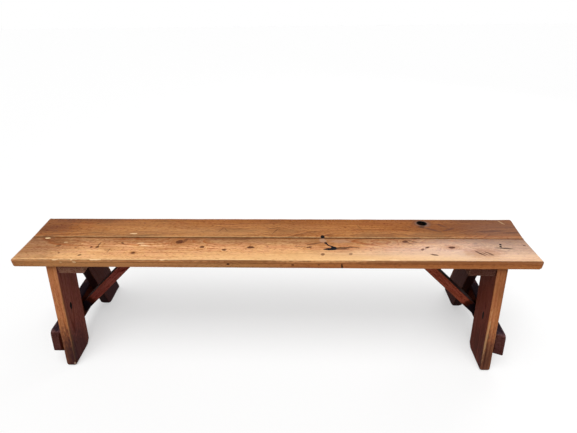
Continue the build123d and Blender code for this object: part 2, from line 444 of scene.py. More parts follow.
class PineNodes:
    """Lays out the nodes of one pine material."""

    def __init__(
        self, finish: AgedPine, tree: Tree, marks: Sequence[Mark], board: "Board"
    ) -> None:
        """Keep what the material is built from.

        Args:
            finish: The finish.
            tree: The material's node tree.
            marks: The board's marks.
            board: The board that they lie on.
        """
        self.finish = finish
        self.tree = tree
        # Large stains and large patches of painted light and shade come first, so that small marks lie on
        # them
        self.marks = sorted(marks, key=lambda mark: -mark.length * mark.breadth)
        self.board = board
        place = self.add("Attribute", attribute_name="place")
        facing = self.add("Attribute", attribute_name="facing")
        arris = self.add("Attribute", attribute_name="arris")
        self.place = place.outputs["Vector"]
        self.arris = arris.outputs["Fac"]
        split = self.add("SeparateXYZ", {0: facing.outputs["Vector"]})
        self.facing_along, _, self.facing_up = split.outputs

    def add(self, *what: Any, **settings: Any) -> Node:
        """Add a node to the material, as add_node does."""
        return add_node(self.tree, *what, **settings)

    def math(self, operation: str, *terms: Socket | float) -> Socket:
        """The result of one sum."""
        links, values = parted(dict(enumerate(terms)))
        return self.add("Math", links, values, operation=operation).outputs[0]

    def blend(
        self, share: Socket, first: Socket | Colour, second: Socket | Colour, mode: str = "MIX"
    ) -> Socket:
        """The colour that lies a share of the way from the first to their blend.

        Args:
            share: The share, from 0 to 1.
            first: The first colour.
            second: The colour that is blended with it.
            mode: Blender's name for the kind of blend.

        Returns:
            The colour.
        """
        links, values = parted({FACTOR: share, COLOUR_A: first, COLOUR_B: second})
        settings = {"data_type": "RGBA", "blend_type": mode, "clamp_factor": True}
        return self.add("Mix", links, values, **settings).outputs[COLOUR_OUT]

    def multiplied(self, share: Socket, colour: Socket, tone: str) -> Socket:
        """A colour multiplied by an sRGB hex tone, as far as the share says."""
        return self.blend(share, colour, linear(tone), "MULTIPLY")

    def fade(
        self, source: Socket, start: float, end: float, low: float = 0.0, high: float = 1.0
    ) -> Socket:
        """A smooth step of a number.

        Args:
            source: The number.
            start: Where the step starts.
            end: Where it ends, which may be the smaller of the two.
            low: The result at the start and before it.
            high: The result at the end and past it.

        Returns:
            The result.
        """
        values = {"From Min": start, "From Max": end, "To Min": low, "To Max": high}
        made = self.add("MapRange", {"Value": source}, values, interpolation_type="SMOOTHSTEP")
        return made.outputs["Result"]

    def cloud(self, pattern: Cloud) -> Node:
        """One of the noise patterns, on this board.

        Args:
            pattern: The pattern.

        Returns:
            The noise node.
        """
        scales = tuple(1 / size for size in pattern.sizes)
        offset = self.finish.seed + pattern.shift
        values = {1: scales, 2: tuple(offset * share for share in SEED_WAY)}
        moved = self.add("VectorMath", {0: self.place}, values, operation="MULTIPLY_ADD")
        values = {"Scale": 1.0, "Detail": pattern.detail, "Roughness": CLOUD_ROUGHNESS}
        return self.add("TexNoise", {"Vector": moved.outputs[0]}, values)

    def cloud_level(self, pattern: Cloud) -> Socket:
        """The level of a noise pattern, mostly between 0.3 and 0.7."""
        return self.cloud(pattern).outputs["Fac"]

    def mark_distance(self, mark: Mark) -> Socket:
        """Distance from a mark's middle, which is 1 at its rim before any raggedness.

        Args:
            mark: The mark.

        Returns:
            The distance, in half sizes of the mark.
        """
        look = MARK_LOOKS[mark.kind]
        half_width, half_thickness = self.board.width / 2, self.board.thickness / 2
        turn = math.radians(mark.turn)
        if mark.face in (Face.NEAR, Face.FAR):
            edge = half_width if mark.face is Face.FAR else -half_width
            centre = (mark.along, edge, mark.across)
            sizes = (mark.length / 2, look.reach, mark.breadth / 2)
            angles = (0.0, -turn, 0.0)
        else:
            level = half_thickness if mark.face is Face.TOP else -half_thickness
            centre = (mark.along, mark.across, level)
            sizes = (mark.length / 2, mark.breadth / 2, look.reach)
            angles = (0.0, 0.0, turn)
        values = {"Location": centre, "Rotation": angles, "Scale": sizes}
        mapped = self.add("Mapping", {"Vector": self.place}, values, vector_type="TEXTURE")
        return self.length(mapped)

    def length(self, vector: Node) -> Socket:
        """The length of a node's vector."""
        made = self.add("VectorMath", {0: vector.outputs[0]}, operation="LENGTH")
        return made.outputs["Value"]

    def ring_radius(self) -> Socket:
        """Distance from the tree's heart, bent by slow wandering and pushed aside by the knots.

        Returns:
            The distance.
        """
        finish = self.finish
        slow, quick = self.cloud(SLOW_BENDS), self.cloud(QUICK_BENDS)
        bent = self.place
        for source, reach in ((slow, finish.wander), (quick, finish.wander * QUICK_REACH)):
            parts = self.add("SeparateColor", {0: source.outputs["Color"]}).outputs
            push = self.add("CombineXYZ", {1: parts[0], 2: parts[1]}).outputs[0]
            links, values = {0: push, 2: bent}, {1: (0.0, reach, reach)}
            bent = self.add("VectorMath", links, values, operation="MULTIPLY_ADD").outputs[0]
        across, through = finish.pith
        values = {
            "Location": (0.0, -across - finish.wander / 2, -through - finish.wander / 2),
            "Rotation": (0.0, math.atan(finish.drift[1]), math.atan(finish.drift[0])),
        }
        turned = self.add("Mapping", {"Vector": bent}, values)
        values = {1: (0.0, 1.0, 1.0)}
        flat = self.add("VectorMath", {0: turned.outputs[0]}, values, operation="MULTIPLY")
        total = self.length(flat)
        for mark in self.marks:
            lift = MARK_LOOKS[mark.kind].lift
            if lift:
                pushed = self.fade(self.mark_distance(mark), 0.0, LIFT_REACH, lift, 0.0)
                total = self.math("ADD", total, pushed)
        return total

    def late_wood(self) -> Socket:
        """How much late wood shows, from 0 in a year's early wood to 1 at its end.

        Returns:
            The share of late wood.
        """
        turns = self.math("DIVIDE", self.ring_radius(), self.finish.ring_spacing)
        links = {"W": self.math("MULTIPLY", turns, YEAR_CHANGE)}
        uneven = self.add("TexNoise", links, {"Scale": 1.0, "Detail": 1.0}, noise_dimensions="1D")
        turns = self.math("MULTIPLY_ADD", uneven.outputs["Fac"], YEAR_SHIFT, turns)
        stops = [stop(place, level) for place, level in YEAR]
        ramp = self.add("ValToRGB", {"Fac": self.math("FRACT", turns)}, stops=stops)
        patches = self.fade(self.cloud_level(LATE_PATCHES), 0.35, 0.62, low=0.35)
        return self.math("MULTIPLY", ramp.outputs["Alpha"], patches)

    def bare_colour(self, late: Socket, fibre: Socket) -> Socket:
        """Colour of the wood before any mark, with its three face tints, late wood, streaks and patina.

        Args:
            late: The share of late wood.
            fibre: The level of the fibres.

        Returns:
            The colour.
        """
        finish = self.finish
        # A face counts as broad when it leans less than about 45 degrees, and in full under about 16
        up = self.fade(self.facing_up, 0.7, 0.96)
        down = self.fade(self.facing_up, -0.7, -0.96)
        # On the trestles the face tones carry painted light and shade as well as the wood's colour
        colour = self.blend(up, linear(finish.edges), linear(finish.top))
        colour = self.blend(down, colour, linear(finish.under))
        colour = self.multiplied(late, colour, finish.late)
        streaks = self.fade(self.cloud_level(STREAKS), 0.3, 0.7, high=0.42)
        colour = self.multiplied(streaks, colour, STREAK_TONE)
        colour = self.multiplied(self.fade(fibre, 0.35, 0.65, high=0.45), colour, FIBRE_TONE)
        pores = self.fade(self.cloud_level(PORES), 0.52, 0.7, high=finish.flecks)
        colour = self.multiplied(pores, colour, PORE_TONE)
        tint = self.cloud_level(TINTS)
        colour = self.multiplied(self.fade(tint, 0.4, 0.6, high=0.5), colour, WARM_TONE)
        colour = self.multiplied(self.fade(tint, 0.56, 0.4, high=0.5), colour, COOL_TONE)
        patina = self.fade(self.cloud_level(PATINA), 0.62 - 0.3 * finish.patina_share, 0.78, high=0.65)
        return self.blend(patina, colour, linear(finish.patina))

    def build(self) -> None:
        """Add every node and link of the material."""
        finish = self.finish
        late = self.late_wood()
        fibre = self.cloud_level(FIBRES)
        colour = self.bare_colour(late, fibre)

        rub = self.fade(self.cloud_level(RUBBING), 0.38, 0.6)
        rub = self.math("MULTIPLY", rub, self.fade(self.arris, 0.35, 0.95, high=finish.worn_share))
        colour = self.blend(rub, colour, linear(finish.worn))

        ragged = self.math("SUBTRACT", self.cloud_level(RAGGED_RIMS), NOISE_MIDDLE)
        height = self.math("MULTIPLY", late, LATE_RELIEF)
        height = self.math("MULTIPLY_ADD", fibre, FIBRE_RELIEF, height)
        for mark in self.marks:
            look = MARK_LOOKS[mark.kind]
            distance = self.math("MULTIPLY_ADD", ragged, look.raggedness * 2, self.mark_distance(mark))
            rim = look.softness / 2
            cover = self.fade(distance, 1.0 - rim, 1.0 + rim, low=1.0, high=0.0)
            share = self.math("MULTIPLY", cover, min(look.strength * mark.weight, 1.0))
            colour = self.blend(share, colour, linear(look.colour))
            if look.dip:
                height = self.math("MULTIPLY_ADD", cover, -look.dip, height)

        # End grain drinks varnish and dirt, so it is darker and duller
        end_grain = self.fade(self.math("ABSOLUTE", self.facing_along), 0.55, 0.85)
        darker = self.math("MULTIPLY", end_grain, finish.end_grain)
        colour = self.multiplied(darker, colour, END_GRAIN_TONE)

        least, most = finish.roughness
        rough = self.fade(fibre, 0.3, 0.7, least, most)
        rough = self.math("MULTIPLY_ADD", end_grain, END_GRAIN_ROUGHNESS, rough)
        relief = {"Strength": BUMP_STRENGTH, "Distance": MM}
        bump = self.add("Bump", {"Height": height}, relief)
        shader = self.add(
            "BsdfPrincipled",
            {"Base Color": colour, "Roughness": rough, "Normal": bump.outputs[0]},
            {
                "IOR": VARNISH_IOR,
                "Specular IOR Level": finish.gloss,
                "Coat Weight": finish.sheen_coat,
                "Coat Roughness": COAT_ROUGHNESS,
            },
        )
        self.add("OutputMaterial", {"Surface": shader.outputs[0]})


@dataclass(frozen=True)
class DulledSteel:
    """Turned steel wood screws, dulled to brown by age, with a little bright metal left on the heads.

    To the eye they are small dark discs with a low metallic shine.

    Attributes:
        bright: sRGB hex of the bare steel.
        rust: sRGB hex of the brown film.
        speck: Size of the rust's specks.
        roughness: Roughness of the bare steel and of the film.
        metallic: The same for how metallic they are.
        relief: Height of the film's grains.
    """

    bright: str = "#8d8780"
    rust: str = "#4a2f20"
    speck: float = 1.6
    roughness: tuple[float, float] = (0.38, 0.8)
    metallic: tuple[float, float] = (1.0, 0.35)
    relief: float = 0.1

    def material(self, name: str) -> Material:
        """Build the screws' material.

        Args:
            name: The material's name.

        Returns:
            The material.
        """
        made = blank_material(name)
        tree = made.node_tree
        place = add_node(tree, "TexCoord").outputs["Object"]
        values = {"Scale": 1 / (self.speck * MM), "Detail": 4.0, "Roughness": 0.6}
        specks = add_node(tree, "TexNoise", {"Vector": place}, values).outputs["Fac"]
        # Noise levels at which the film starts and at which it covers the steel
        stops = [stop(0.4, 0.0), stop(0.62, 1.0)]
        rust = add_node(tree, "ValToRGB", {"Fac": specks}, stops=stops).outputs["Alpha"]
        relief = {"Strength": 0.5, "Distance": self.relief * MM}
        bump = add_node(tree, "Bump", {"Height": specks}, relief)
        tones = {COLOUR_A: linear(self.bright), COLOUR_B: linear(self.rust)}
        colour = add_node(tree, "Mix", {FACTOR: rust}, tones, data_type="RGBA")
        links = {"Base Color": colour.outputs[COLOUR_OUT], "Normal": bump.outputs[0]}
        for name, ends in {"Roughness": self.roughness, "Metallic": self.metallic}.items():
            values = {"To Min": ends[0], "To Max": ends[1]}
            links[name] = add_node(tree, "MapRange", {"Value": rust}, values).outputs["Result"]
        shader = add_node(tree, "BsdfPrincipled", links)
        add_node(tree, "OutputMaterial", {"Surface": shader.outputs[0]})
        return made


@dataclass(frozen=True)
class Arrises:
    """Rounding radii of the edges round one broad face of a board, by the side that they lie on."""

    low: float
    high: float
    near: float
    far: float

    def round_perimeter(self, counts: tuple[int, int]) -> Array:
        """Radius at each point round the board.

        Args:
            counts: Cells along and across the board.

        Returns:
            One radius for each point of the outline, in the outline's order.
        """
        along, across = counts
        runs = ((self.near, along), (self.high, across), (self.far, along), (self.low, across))
        radii = np.concatenate([np.full(count, radius) for radius, count in runs])
        corners = np.array([0, along, along + across, 2 * along + across])
        radii[corners] = np.minimum(radii[corners], radii[corners - 1])
        return radii


Ends = Callable[[Array], Array]

# Least number of a mesh's cells along a board, and across it between its corners
LEAST_CELLS = (6, 3)
# Degrees between the mesh's lanes where a corner turns, and least radius of a corner that has such lanes
CORNER_STEP, LEAST_CORNER = 18, 1.0
# Degrees at which a rounded arris has a ring, and shares of the way down a board's side at which it has one
ARRIS_DEGREES = (0.0, 22.0, 45.0, 68.0, 90.0)
SIDE_SHARES = (0.33, 0.67)

# Length of the patches in which an arris is worn more or less, and the share of its radius that this takes
WEAR_LENGTH, WEAR_SHARE = 55.0, 0.28
# Offset between the wear of a board's upper and lower arrises
WEAR_SHIFT = 5.0
# How much larger the rounding of an edge may be for each millimetre round the board
RADIUS_GROWTH = 0.8
# How much smaller the rounding of a trodden end is for each millimetre up the board
TRODDEN_FADING = 0.5

# Hollows that planing and wear leave: sizes along, across and through a board, and how far each kind moves
# the depth from its mean, all as shares of a board's unevenness. The shift keeps the two kinds apart
SLOW_HOLLOWS, SLOW_SHARE = (170.0, 45.0, 45.0), 0.38
QUICK_HOLLOWS, QUICK_SHARE, QUICK_SHIFT = (38.0, 13.0, 13.0), 0.24, 9.0
MEAN_SHARE = 0.5

# How far along a board a skewed end's cut fades out, in depths of the cut
SKEW_REACH = 4.0
# Distance from an edge at which its wear has faded to a third
ARRIS_REACH = 5.0
# Degrees from which an edge is shaded as sharp, on a board and on a screw
SHARP_BOARD, SHARP_SCREW = 50, 35
# How far a cutting solid passes the face that it cuts
OVERCUT = 1.0
# How far a point of a screw's head face may lie from the others along the screw
FLATNESS = 0.01


@dataclass
class Board:
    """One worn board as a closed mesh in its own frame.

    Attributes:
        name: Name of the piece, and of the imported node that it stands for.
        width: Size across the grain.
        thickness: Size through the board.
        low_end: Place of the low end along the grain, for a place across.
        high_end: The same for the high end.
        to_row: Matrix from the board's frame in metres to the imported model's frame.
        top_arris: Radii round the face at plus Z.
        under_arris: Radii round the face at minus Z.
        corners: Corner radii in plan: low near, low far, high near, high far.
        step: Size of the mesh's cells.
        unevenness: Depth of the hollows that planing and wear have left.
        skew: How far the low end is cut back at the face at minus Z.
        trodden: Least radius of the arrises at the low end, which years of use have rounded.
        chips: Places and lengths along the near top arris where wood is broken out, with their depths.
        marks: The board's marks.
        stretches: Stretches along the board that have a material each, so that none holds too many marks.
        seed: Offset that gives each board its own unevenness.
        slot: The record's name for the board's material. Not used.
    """

    name: str
    width: float
    thickness: float
    low_end: Ends
    high_end: Ends
    to_row: Matrix
    top_arris: Arrises
    under_arris: Arrises
    corners: tuple[float, float, float, float]
    step: float = 7.0
    unevenness: float = 0.35
    skew: float = 0.0
    trodden: float = 0.0
    chips: Sequence[tuple[float, float, float]] = ()
    marks: Sequence[Mark] = ()
    stretches: int = 1
    seed: float = 0.0
    slot: str = "leg_pine"

    def lanes(self) -> Array:
        """Places of the mesh's lanes across the board, close together where the corners turn.

        Returns:
            The places, from the near side to the far one.
        """
        near = max(self.corners[0], self.corners[2], LEAST_CORNER)
        far = max(self.corners[1], self.corners[3], LEAST_CORNER)
        half = self.width / 2
        cells = max(int((self.width - near - far) / self.step), LEAST_CELLS[1])
        inner = np.linspace(-half + near, half - far, cells + 1)
        turned_in = 1 - np.cos(np.radians(np.arange(0, 90, CORNER_STEP)))
        return np.concatenate([-half + near * turned_in, inner, (half - far * turned_in)[::-1]])

    def rounded_end(self, across: Array, low: bool) -> Array:
        """Place of an end along the grain, with its two corners rounded.

        Args:
            across: Places across the board.
            low: True for the low end.

        Returns:
            The end's place at each of them.
        """
        near, far = self.corners[:2] if low else self.corners[2:]
        back = np.zeros_like(across)
        for radius, distance in ((near, across + self.width / 2), (far, self.width / 2 - across)):
            inside = np.clip(radius - distance, 0.0, radius)
            back += radius - np.sqrt(np.maximum(radius**2 - inside**2, 0.0))
        return self.low_end(across) + back if low else self.high_end(across) - back

    def outline(self) -> tuple[Array, tuple[int, int]]:
        """The board's outline in plan, anticlockwise from the near low corner.

        Returns:
            The outline's points, and the number of cells along and across.
        """
        lanes = self.lanes()
        low, high = self.rounded_end(lanes, True), self.rounded_end(lanes, False)
        along = max(int((high - low).max() / self.step), LEAST_CELLS[0])
        shares = np.linspace(0.0, 1.0, along + 1)
        near = np.column_stack([low[0] + shares * (high[0] - low[0]), np.full(along + 1, lanes[0])])
        far = np.column_stack([low[-1] + shares * (high[-1] - low[-1]), np.full(along + 1, lanes[-1])])
        right = np.column_stack([high, lanes])
        left = np.column_stack([low, lanes])
        loop = np.concatenate([near[:-1], right[:-1], far[::-1][:-1], left[::-1][:-1]])
        return loop, (along, len(lanes) - 1)

    @staticmethod
    def outward(loop: Array) -> Array:
        """Outward directions round a loop, longer at a corner so that an inset keeps its width.

        Args:
            loop: The loop's points.

        Returns:
            A direction for each point.
        """
        ahead = np.roll(loop, -1, 0) - loop
        # The tiny number is for a step of no length, and the half limits how long a direction may be
        ahead /= np.linalg.norm(ahead, axis=1, keepdims=True) + 1e-9
        normals = np.column_stack([ahead[:, 1], -ahead[:, 0]])
        before = np.roll(normals, 1, 0)
        return (normals + before) / np.maximum(1.0 + (normals * before).sum(1), 0.5)[:, None]

    def worn_radii(self, arris: Arrises, loop: Array, counts: tuple[int, int], top: bool) -> Array:
        """Radii round one face, uneven from wear and larger where the arris is chipped.

        Args:
            arris: The radii as made.
            loop: The outline.
            counts: Cells along and across.
            top: True for the face at plus Z, which has the chips.

        Returns:
            One radius for each point of the outline.
        """
        radii = arris.round_perimeter(counts)
        patches = loop / WEAR_LENGTH
        wear = [noise.noise(Vector((x + self.seed, y, WEAR_SHIFT * top))) for x, y in patches]
        radii = radii * (1.0 + WEAR_SHARE * np.array(wear))
        above = loop[:, 0] - self.low_end(loop[:, 1])
        radii = np.maximum(radii, self.trodden - TRODDEN_FADING * above)
        if top:
            on_near = np.arange(len(loop)) < counts[0]
            for place, length, depth in self.chips:
                bite = np.clip(1.0 - ((loop[:, 0] - place) / (length / 2)) ** 2, 0.0, 1.0)
                radii = radii + np.where(on_near, depth * bite, 0.0)
        # A radius grows slowly away from a smaller one, so that the rings do not cross where two sides meet
        steps = np.linalg.norm(np.roll(loop, -1, 0) - loop, axis=1)
        walked = np.concatenate([[0.0], np.cumsum(steps)[:-1]])
        apart = np.abs(walked[:, None] - walked[None, :])
        apart = np.minimum(apart, steps.sum() - apart)
        return (radii[None, :] + RADIUS_GROWTH * apart).min(1)

    @staticmethod
    def filled(rim: Array, counts: tuple[int, int]) -> Array:
        """Grid of points that fills a rim, blended from its four sides.

        Args:
            rim: Points round the rim.
            counts: Cells along and across.

        Returns:
            Points by place along and place across.
        """
        along, across = counts
        near = rim[: along + 1]
        high = rim[along : along + across + 1]
        far = rim[along + across : 2 * along + across + 1][::-1]
        low = np.concatenate([rim[2 * along + across :], rim[:1]])[::-1]
        s = np.linspace(0, 1, along + 1)[:, None, None]
        t = ((high[:, 1] - high[0, 1]) / (high[-1, 1] - high[0, 1]))[None, :, None]
        sides = (1 - t) * near[:, None] + t * far[:, None] + (1 - s) * low[None] + s * high[None]
        twice = (1 - s) * (1 - t) * near[0] + s * (1 - t) * near[-1] + (1 - s) * t * far[0] + s * t * far[-1]
        return sides - twice

    def rounding(self, loop: Array, out: Array, radii: Array, side: int) -> list[tuple[Array, Array]]:
        """The rings of a rounded arris, from the board's broad face to its side.

        Args:
            loop: The outline.
            out: Its outward directions.
            radii: Radius at each of its points.
            side: 1 for the face at plus Z and -1 for the one at minus Z.

        Returns:
            Points and outward directions of each ring.
        """
        rings = []
        for angle in np.radians(ARRIS_DEGREES):
            sine, cosine = np.sin(angle), np.cos(angle)
            flat = loop - out * (radii * (1 - sine))[:, None]
            level = side * (self.thickness / 2 - radii * (1 - cosine))
            facing = np.column_stack([out * sine, np.full(len(loop), side * cosine)])
            rings.append((np.column_stack([flat, level]), facing))
        return rings

    def shell(self) -> tuple[Array, Array, list[tuple[int, ...]]]:
        """The board's closed surface before it is worn.

        Returns:
            Points, their outward directions, and faces.
        """
        loop, counts = self.outline()
        out = self.outward(loop)
        half = self.thickness / 2
        top = self.worn_radii(self.top_arris, loop, counts, True)
        under = self.worn_radii(self.under_arris, loop, counts, False)
        rings = self.rounding(loop, out, top, 1)
        for share in SIDE_SHARES:
            level = (half - top) * (1 - share) + (under - half) * share
            rings.append((np.column_stack([loop, level]), np.column_stack([out, np.zeros(len(loop))])))
        rings += self.rounding(loop, out, under, -1)[::-1]
        return self.stitched([ring for ring, _ in rings], [facing for _, facing in rings], counts)

    def stitched(
        self, rings: list[Array], ways: list[Array], counts: tuple[int, int]
    ) -> tuple[Array, Array, list[tuple[int, ...]]]:
        """Join rings round the board with a filled grid on its top and one under it.

        Args:
            rings: Points of each ring from the top face down.
            ways: The outward direction at each of those points.
            counts: Cells along and across.

        Returns:
            Points, their outward directions, and faces.
        """
        along, across = counts
        number = np.arange((along + 1) * (across + 1)).reshape(along + 1, across + 1)
        rim = np.concatenate([number[:-1, 0], number[-1, :-1], number[1:, -1][::-1], number[0, 1:][::-1]])
        size = number.size
        round_count = len(rings[0])
        grids, facings = [], []
        for ring, way in ((rings[0], 1.0), (rings[-1], -1.0)):
            grid = self.filled(ring[:, :2], counts).reshape(-1, 2)
            grids.append(np.column_stack([grid, np.full(size, way * self.thickness / 2)]))
            facings.append(np.tile([0.0, 0.0, way], (size, 1)))
        points = np.concatenate([grids[0], *rings[1:-1], grids[1]])
        facing = np.concatenate([facings[0], *ways[1:-1], facings[1]])
        last = size + (len(rings) - 2) * round_count
        indices = [rim] + [size + k * round_count + np.arange(round_count) for k in range(len(rings) - 2)]
        indices.append(last + rim)
        a, b, c, d = (number[:-1, :-1], number[1:, :-1], number[1:, 1:], number[:-1, 1:])
        faces = np.stack([a, b, c, d], -1).reshape(-1, 4).tolist()
        faces += (np.stack([d, c, b, a], -1).reshape(-1, 4) + last).tolist()
        for upper, lower in zip(indices, indices[1:]):
            faces += np.stack([upper, lower, np.roll(lower, -1), np.roll(upper, -1)], -1).tolist()
        return points, facing, faces

    def worn(self, points: Array, facing: Array) -> Array:
        """Sink each point a little, in slow and quick hollows, and cut back a skewed low end.

        Args:
            points: The shell's points.
            facing: Their outward directions.

        Returns:
            The worn points.
        """
        depth = np.empty(len(points))
        along = np.array([self.seed, 0.0, 0.0])
        slow_places = points / SLOW_HOLLOWS + along
        quick_places = points / QUICK_HOLLOWS + along + np.array([0.0, 0.0, QUICK_SHIFT])
        for index, (slow, quick) in enumerate(zip(slow_places, quick_places)):
            share = MEAN_SHARE + SLOW_SHARE * noise.noise(Vector(slow))
            depth[index] = self.unevenness * (share + QUICK_SHARE * noise.noise(Vector(quick)))
        worn = points - facing * np.maximum(depth, 0.0)[:, None]
        if self.skew:
            low = self.low_end(worn[:, 1])
            near_end = np.clip(1.0 - (worn[:, 0] - low) / (SKEW_REACH * abs(self.skew)), 0.0, 1.0)
            worn[:, 0] += self.skew * (0.5 - worn[:, 2] / self.thickness) * near_end
        return worn

    def edge_distance(self, points: Array) -> Array:
        """Distance of each point from the nearest edge of the board.

        Args:
            points: Points in the board's own frame.

        Returns:
            The distances. The least one is from a face, and the next is from an edge of that face.
        """
        across = self.width / 2 - np.abs(points[:, 1])
        through = self.thickness / 2 - np.abs(points[:, 2])
        from_low = points[:, 0] - self.low_end(points[:, 1])
        along = np.minimum(from_low, self.high_end(points[:, 1]) - points[:, 0])
        return np.sort(np.abs(np.column_stack([across, through, along])), axis=1)[:, 1]

    def build(self, finish: AgedPine, cutters: Sequence[Object]) -> Object:
        """Make the board, cut its holes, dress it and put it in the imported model's frame.

        Args:
            finish: The board's finish.
            cutters: Solids to cut from the board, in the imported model's frame.

        Returns:
            The board's object.
        """
        points, facing, faces = self.shell()
        mesh = bpy.data.meshes.new(self.name)
        mesh.from_pydata((self.worn(points, facing) * MM).tolist(), [], faces)
        mesh.transform(self.to_row)
        piece = linked(f"worn_{self.name}", mesh)
        cut_away(piece, cutters)
        self.describe(piece.data)
        self.dress(piece.data, finish)
        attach(piece, BODY)
        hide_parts(self.name)
        LOG.info("%s: %d faces", piece.name, len(piece.data.polygons))
        return piece

    def own_places(self, coordinates: Array) -> Array:
        """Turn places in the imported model's frame into places in the board's own frame.

        Args:
            coordinates: X, Y and Z of all the places in one row, in metres.

        Returns:
            A row for each place, in millimetres.
        """
        places = coordinates.reshape(-1, 3)
        back = np.array(self.to_row.inverted())
        return (np.column_stack([places, np.ones(len(places))]) @ back.T)[:, :3] / MM

    def dress(self, mesh: Mesh, finish: AgedPine) -> None:
        """Give each stretch of the board a material with the marks that reach it.

        Args:
            mesh: The board's mesh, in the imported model's frame.
            finish: The board's finish.
        """
        centres = np.empty(len(mesh.polygons) * 3, np.float32)
        mesh.polygons.foreach_get("center", centres)
        along = self.own_places(centres)[:, 0]
        borders = np.linspace(along.min(), along.max(), self.stretches + 1)
        mesh.materials.clear()
        overlap = 2 * self.step
        for number, (low, high) in enumerate(zip(borders - overlap, borders[1:] + overlap), 1):
            near = [m for m in self.marks if m.along + m.spread > low and m.along - m.spread < high]
            name = f"aged pine, planed and varnished, {self.name} {number}"
            mesh.materials.append(finish.material(name, near, self))
        numbers = np.clip(np.searchsorted(borders, along, side="right") - 1, 0, self.stretches - 1)
        mesh.polygons.foreach_set("material_index", numbers.astype(np.int32))

    def describe(self, mesh: Mesh) -> None:
        """Write the values that the finish reads: place, facing and closeness to an edge.

        Args:
            mesh: The board's mesh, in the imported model's frame.
        """
        mesh.set_sharp_from_angle(angle=math.radians(SHARP_BOARD))
        coordinates = np.empty(len(mesh.vertices) * 3, np.float32)
        mesh.vertices.foreach_get("co", coordinates)
        normals = np.empty(len(mesh.vertices) * 3, np.float32)
        mesh.vertex_normals.foreach_get("vector", normals)
        places = self.own_places(coordinates)
        back = np.array(self.to_row.inverted())
        facings = normals.reshape(-1, 3) @ back[:3, :3].T
        closeness = np.exp(-self.edge_distance(places) / ARRIS_REACH)
        for name, kind, key, values in (
            ("place", "FLOAT_VECTOR", "vector", places),
            ("facing", "FLOAT_VECTOR", "vector", facings),
            ("arris", "FLOAT", "value", closeness),
        ):
            layer = mesh.attributes.new(name, kind, "POINT")
            layer.data.foreach_set(key, np.ascontiguousarray(values, np.float32).ravel())


def joined(name: str, meshes: Iterable[tuple[Mesh, Matrix]]) -> Mesh:
    """Join copies of meshes into one.

    Args:
        name: Name of the new mesh.
        meshes: Each mesh with the matrix that places it.

    Returns:
        The joined mesh.
    """
    points: list[Vector] = []
    faces: list[list[int]] = []
    for mesh, matrix in meshes:
        start = len(points)
        points += [matrix @ v.co for v in mesh.vertices]
        faces += [[start + i for i in p.vertices] for p in mesh.polygons]
    made = bpy.data.meshes.new(name)
    made.from_pydata(points, [], faces)
    return made


def turned(name: str, profile: Sequence[tuple[float, float]], segments: int = 28) -> Mesh:
    """A closed solid of revolution round Z.

    Args:
        name: Name of the mesh.
        profile: Radius and height of each point, from one pole on the axis to the other, upper pole first.
        segments: Number of steps round the axis.

    Returns:
        The mesh, in metres.
    """
    rings = profile[1:-1]
    points = [(0.0, 0.0, profile[0][1])]
    for radius, height in rings:
        for step in range(segments):
            angle = 2 * math.pi * step / segments
            points.append((radius * math.cos(angle), radius * math.sin(angle), height))
    points.append((0.0, 0.0, profile[-1][1]))
    faces: list[tuple[int, ...]] = []
    for step in range(segments):
        ahead = (step + 1) % segments
        faces.append((0, 1 + step, 1 + ahead))
        for ring in range(len(rings) - 1):
            upper, lower = 1 + ring * segments, 1 + (ring + 1) * segments
            faces.append((upper + step, lower + step, lower + ahead, upper + ahead))
        last = 1 + (len(rings) - 1) * segments
        faces.append((last + step, len(points) - 1, last + ahead))
    made = bpy.data.meshes.new(name)
    made.from_pydata([tuple(c * MM for c in p) for p in points], [], faces)
    return made


def cut_away(piece: Object, cutters: Sequence[Object]) -> None:
    """Cut solids out of a piece and keep the result as its mesh.

    Args:
        piece: The piece.
        cutters: The solids, which are left as they are.
    """
    for index, cutter in enumerate(cutters):
        modifier = piece.modifiers.new(f"cut {index}", "BOOLEAN")
        modifier.operation = "DIFFERENCE"
        modifier.solver = "MANIFOLD"
        modifier.object = cutter
    bpy.context.view_layer.update()
    graph = bpy.context.evaluated_depsgraph_get()
    mesh = bpy.data.meshes.new_from_object(piece.evaluated_get(graph), depsgraph=graph)
    piece.modifiers.clear()
    piece.data = mesh


@dataclass(frozen=True)
class Screw:
    """One wood screw: the middle of its head's face, the way that it points, and its length."""

    head: Vector
    way: Vector
    length: float

    def placed(self, turn: float = 0.0) -> Matrix:
        """Matrix that puts a screw made down the Z axis in its place, turned about its own axis."""
        rotation = (-self.way).to_track_quat("Z", "X").to_matrix().to_4x4()
        return Matrix.Translation(self.head) @ rotation @ Matrix.Rotation(math.radians(turn), 4, "Z")


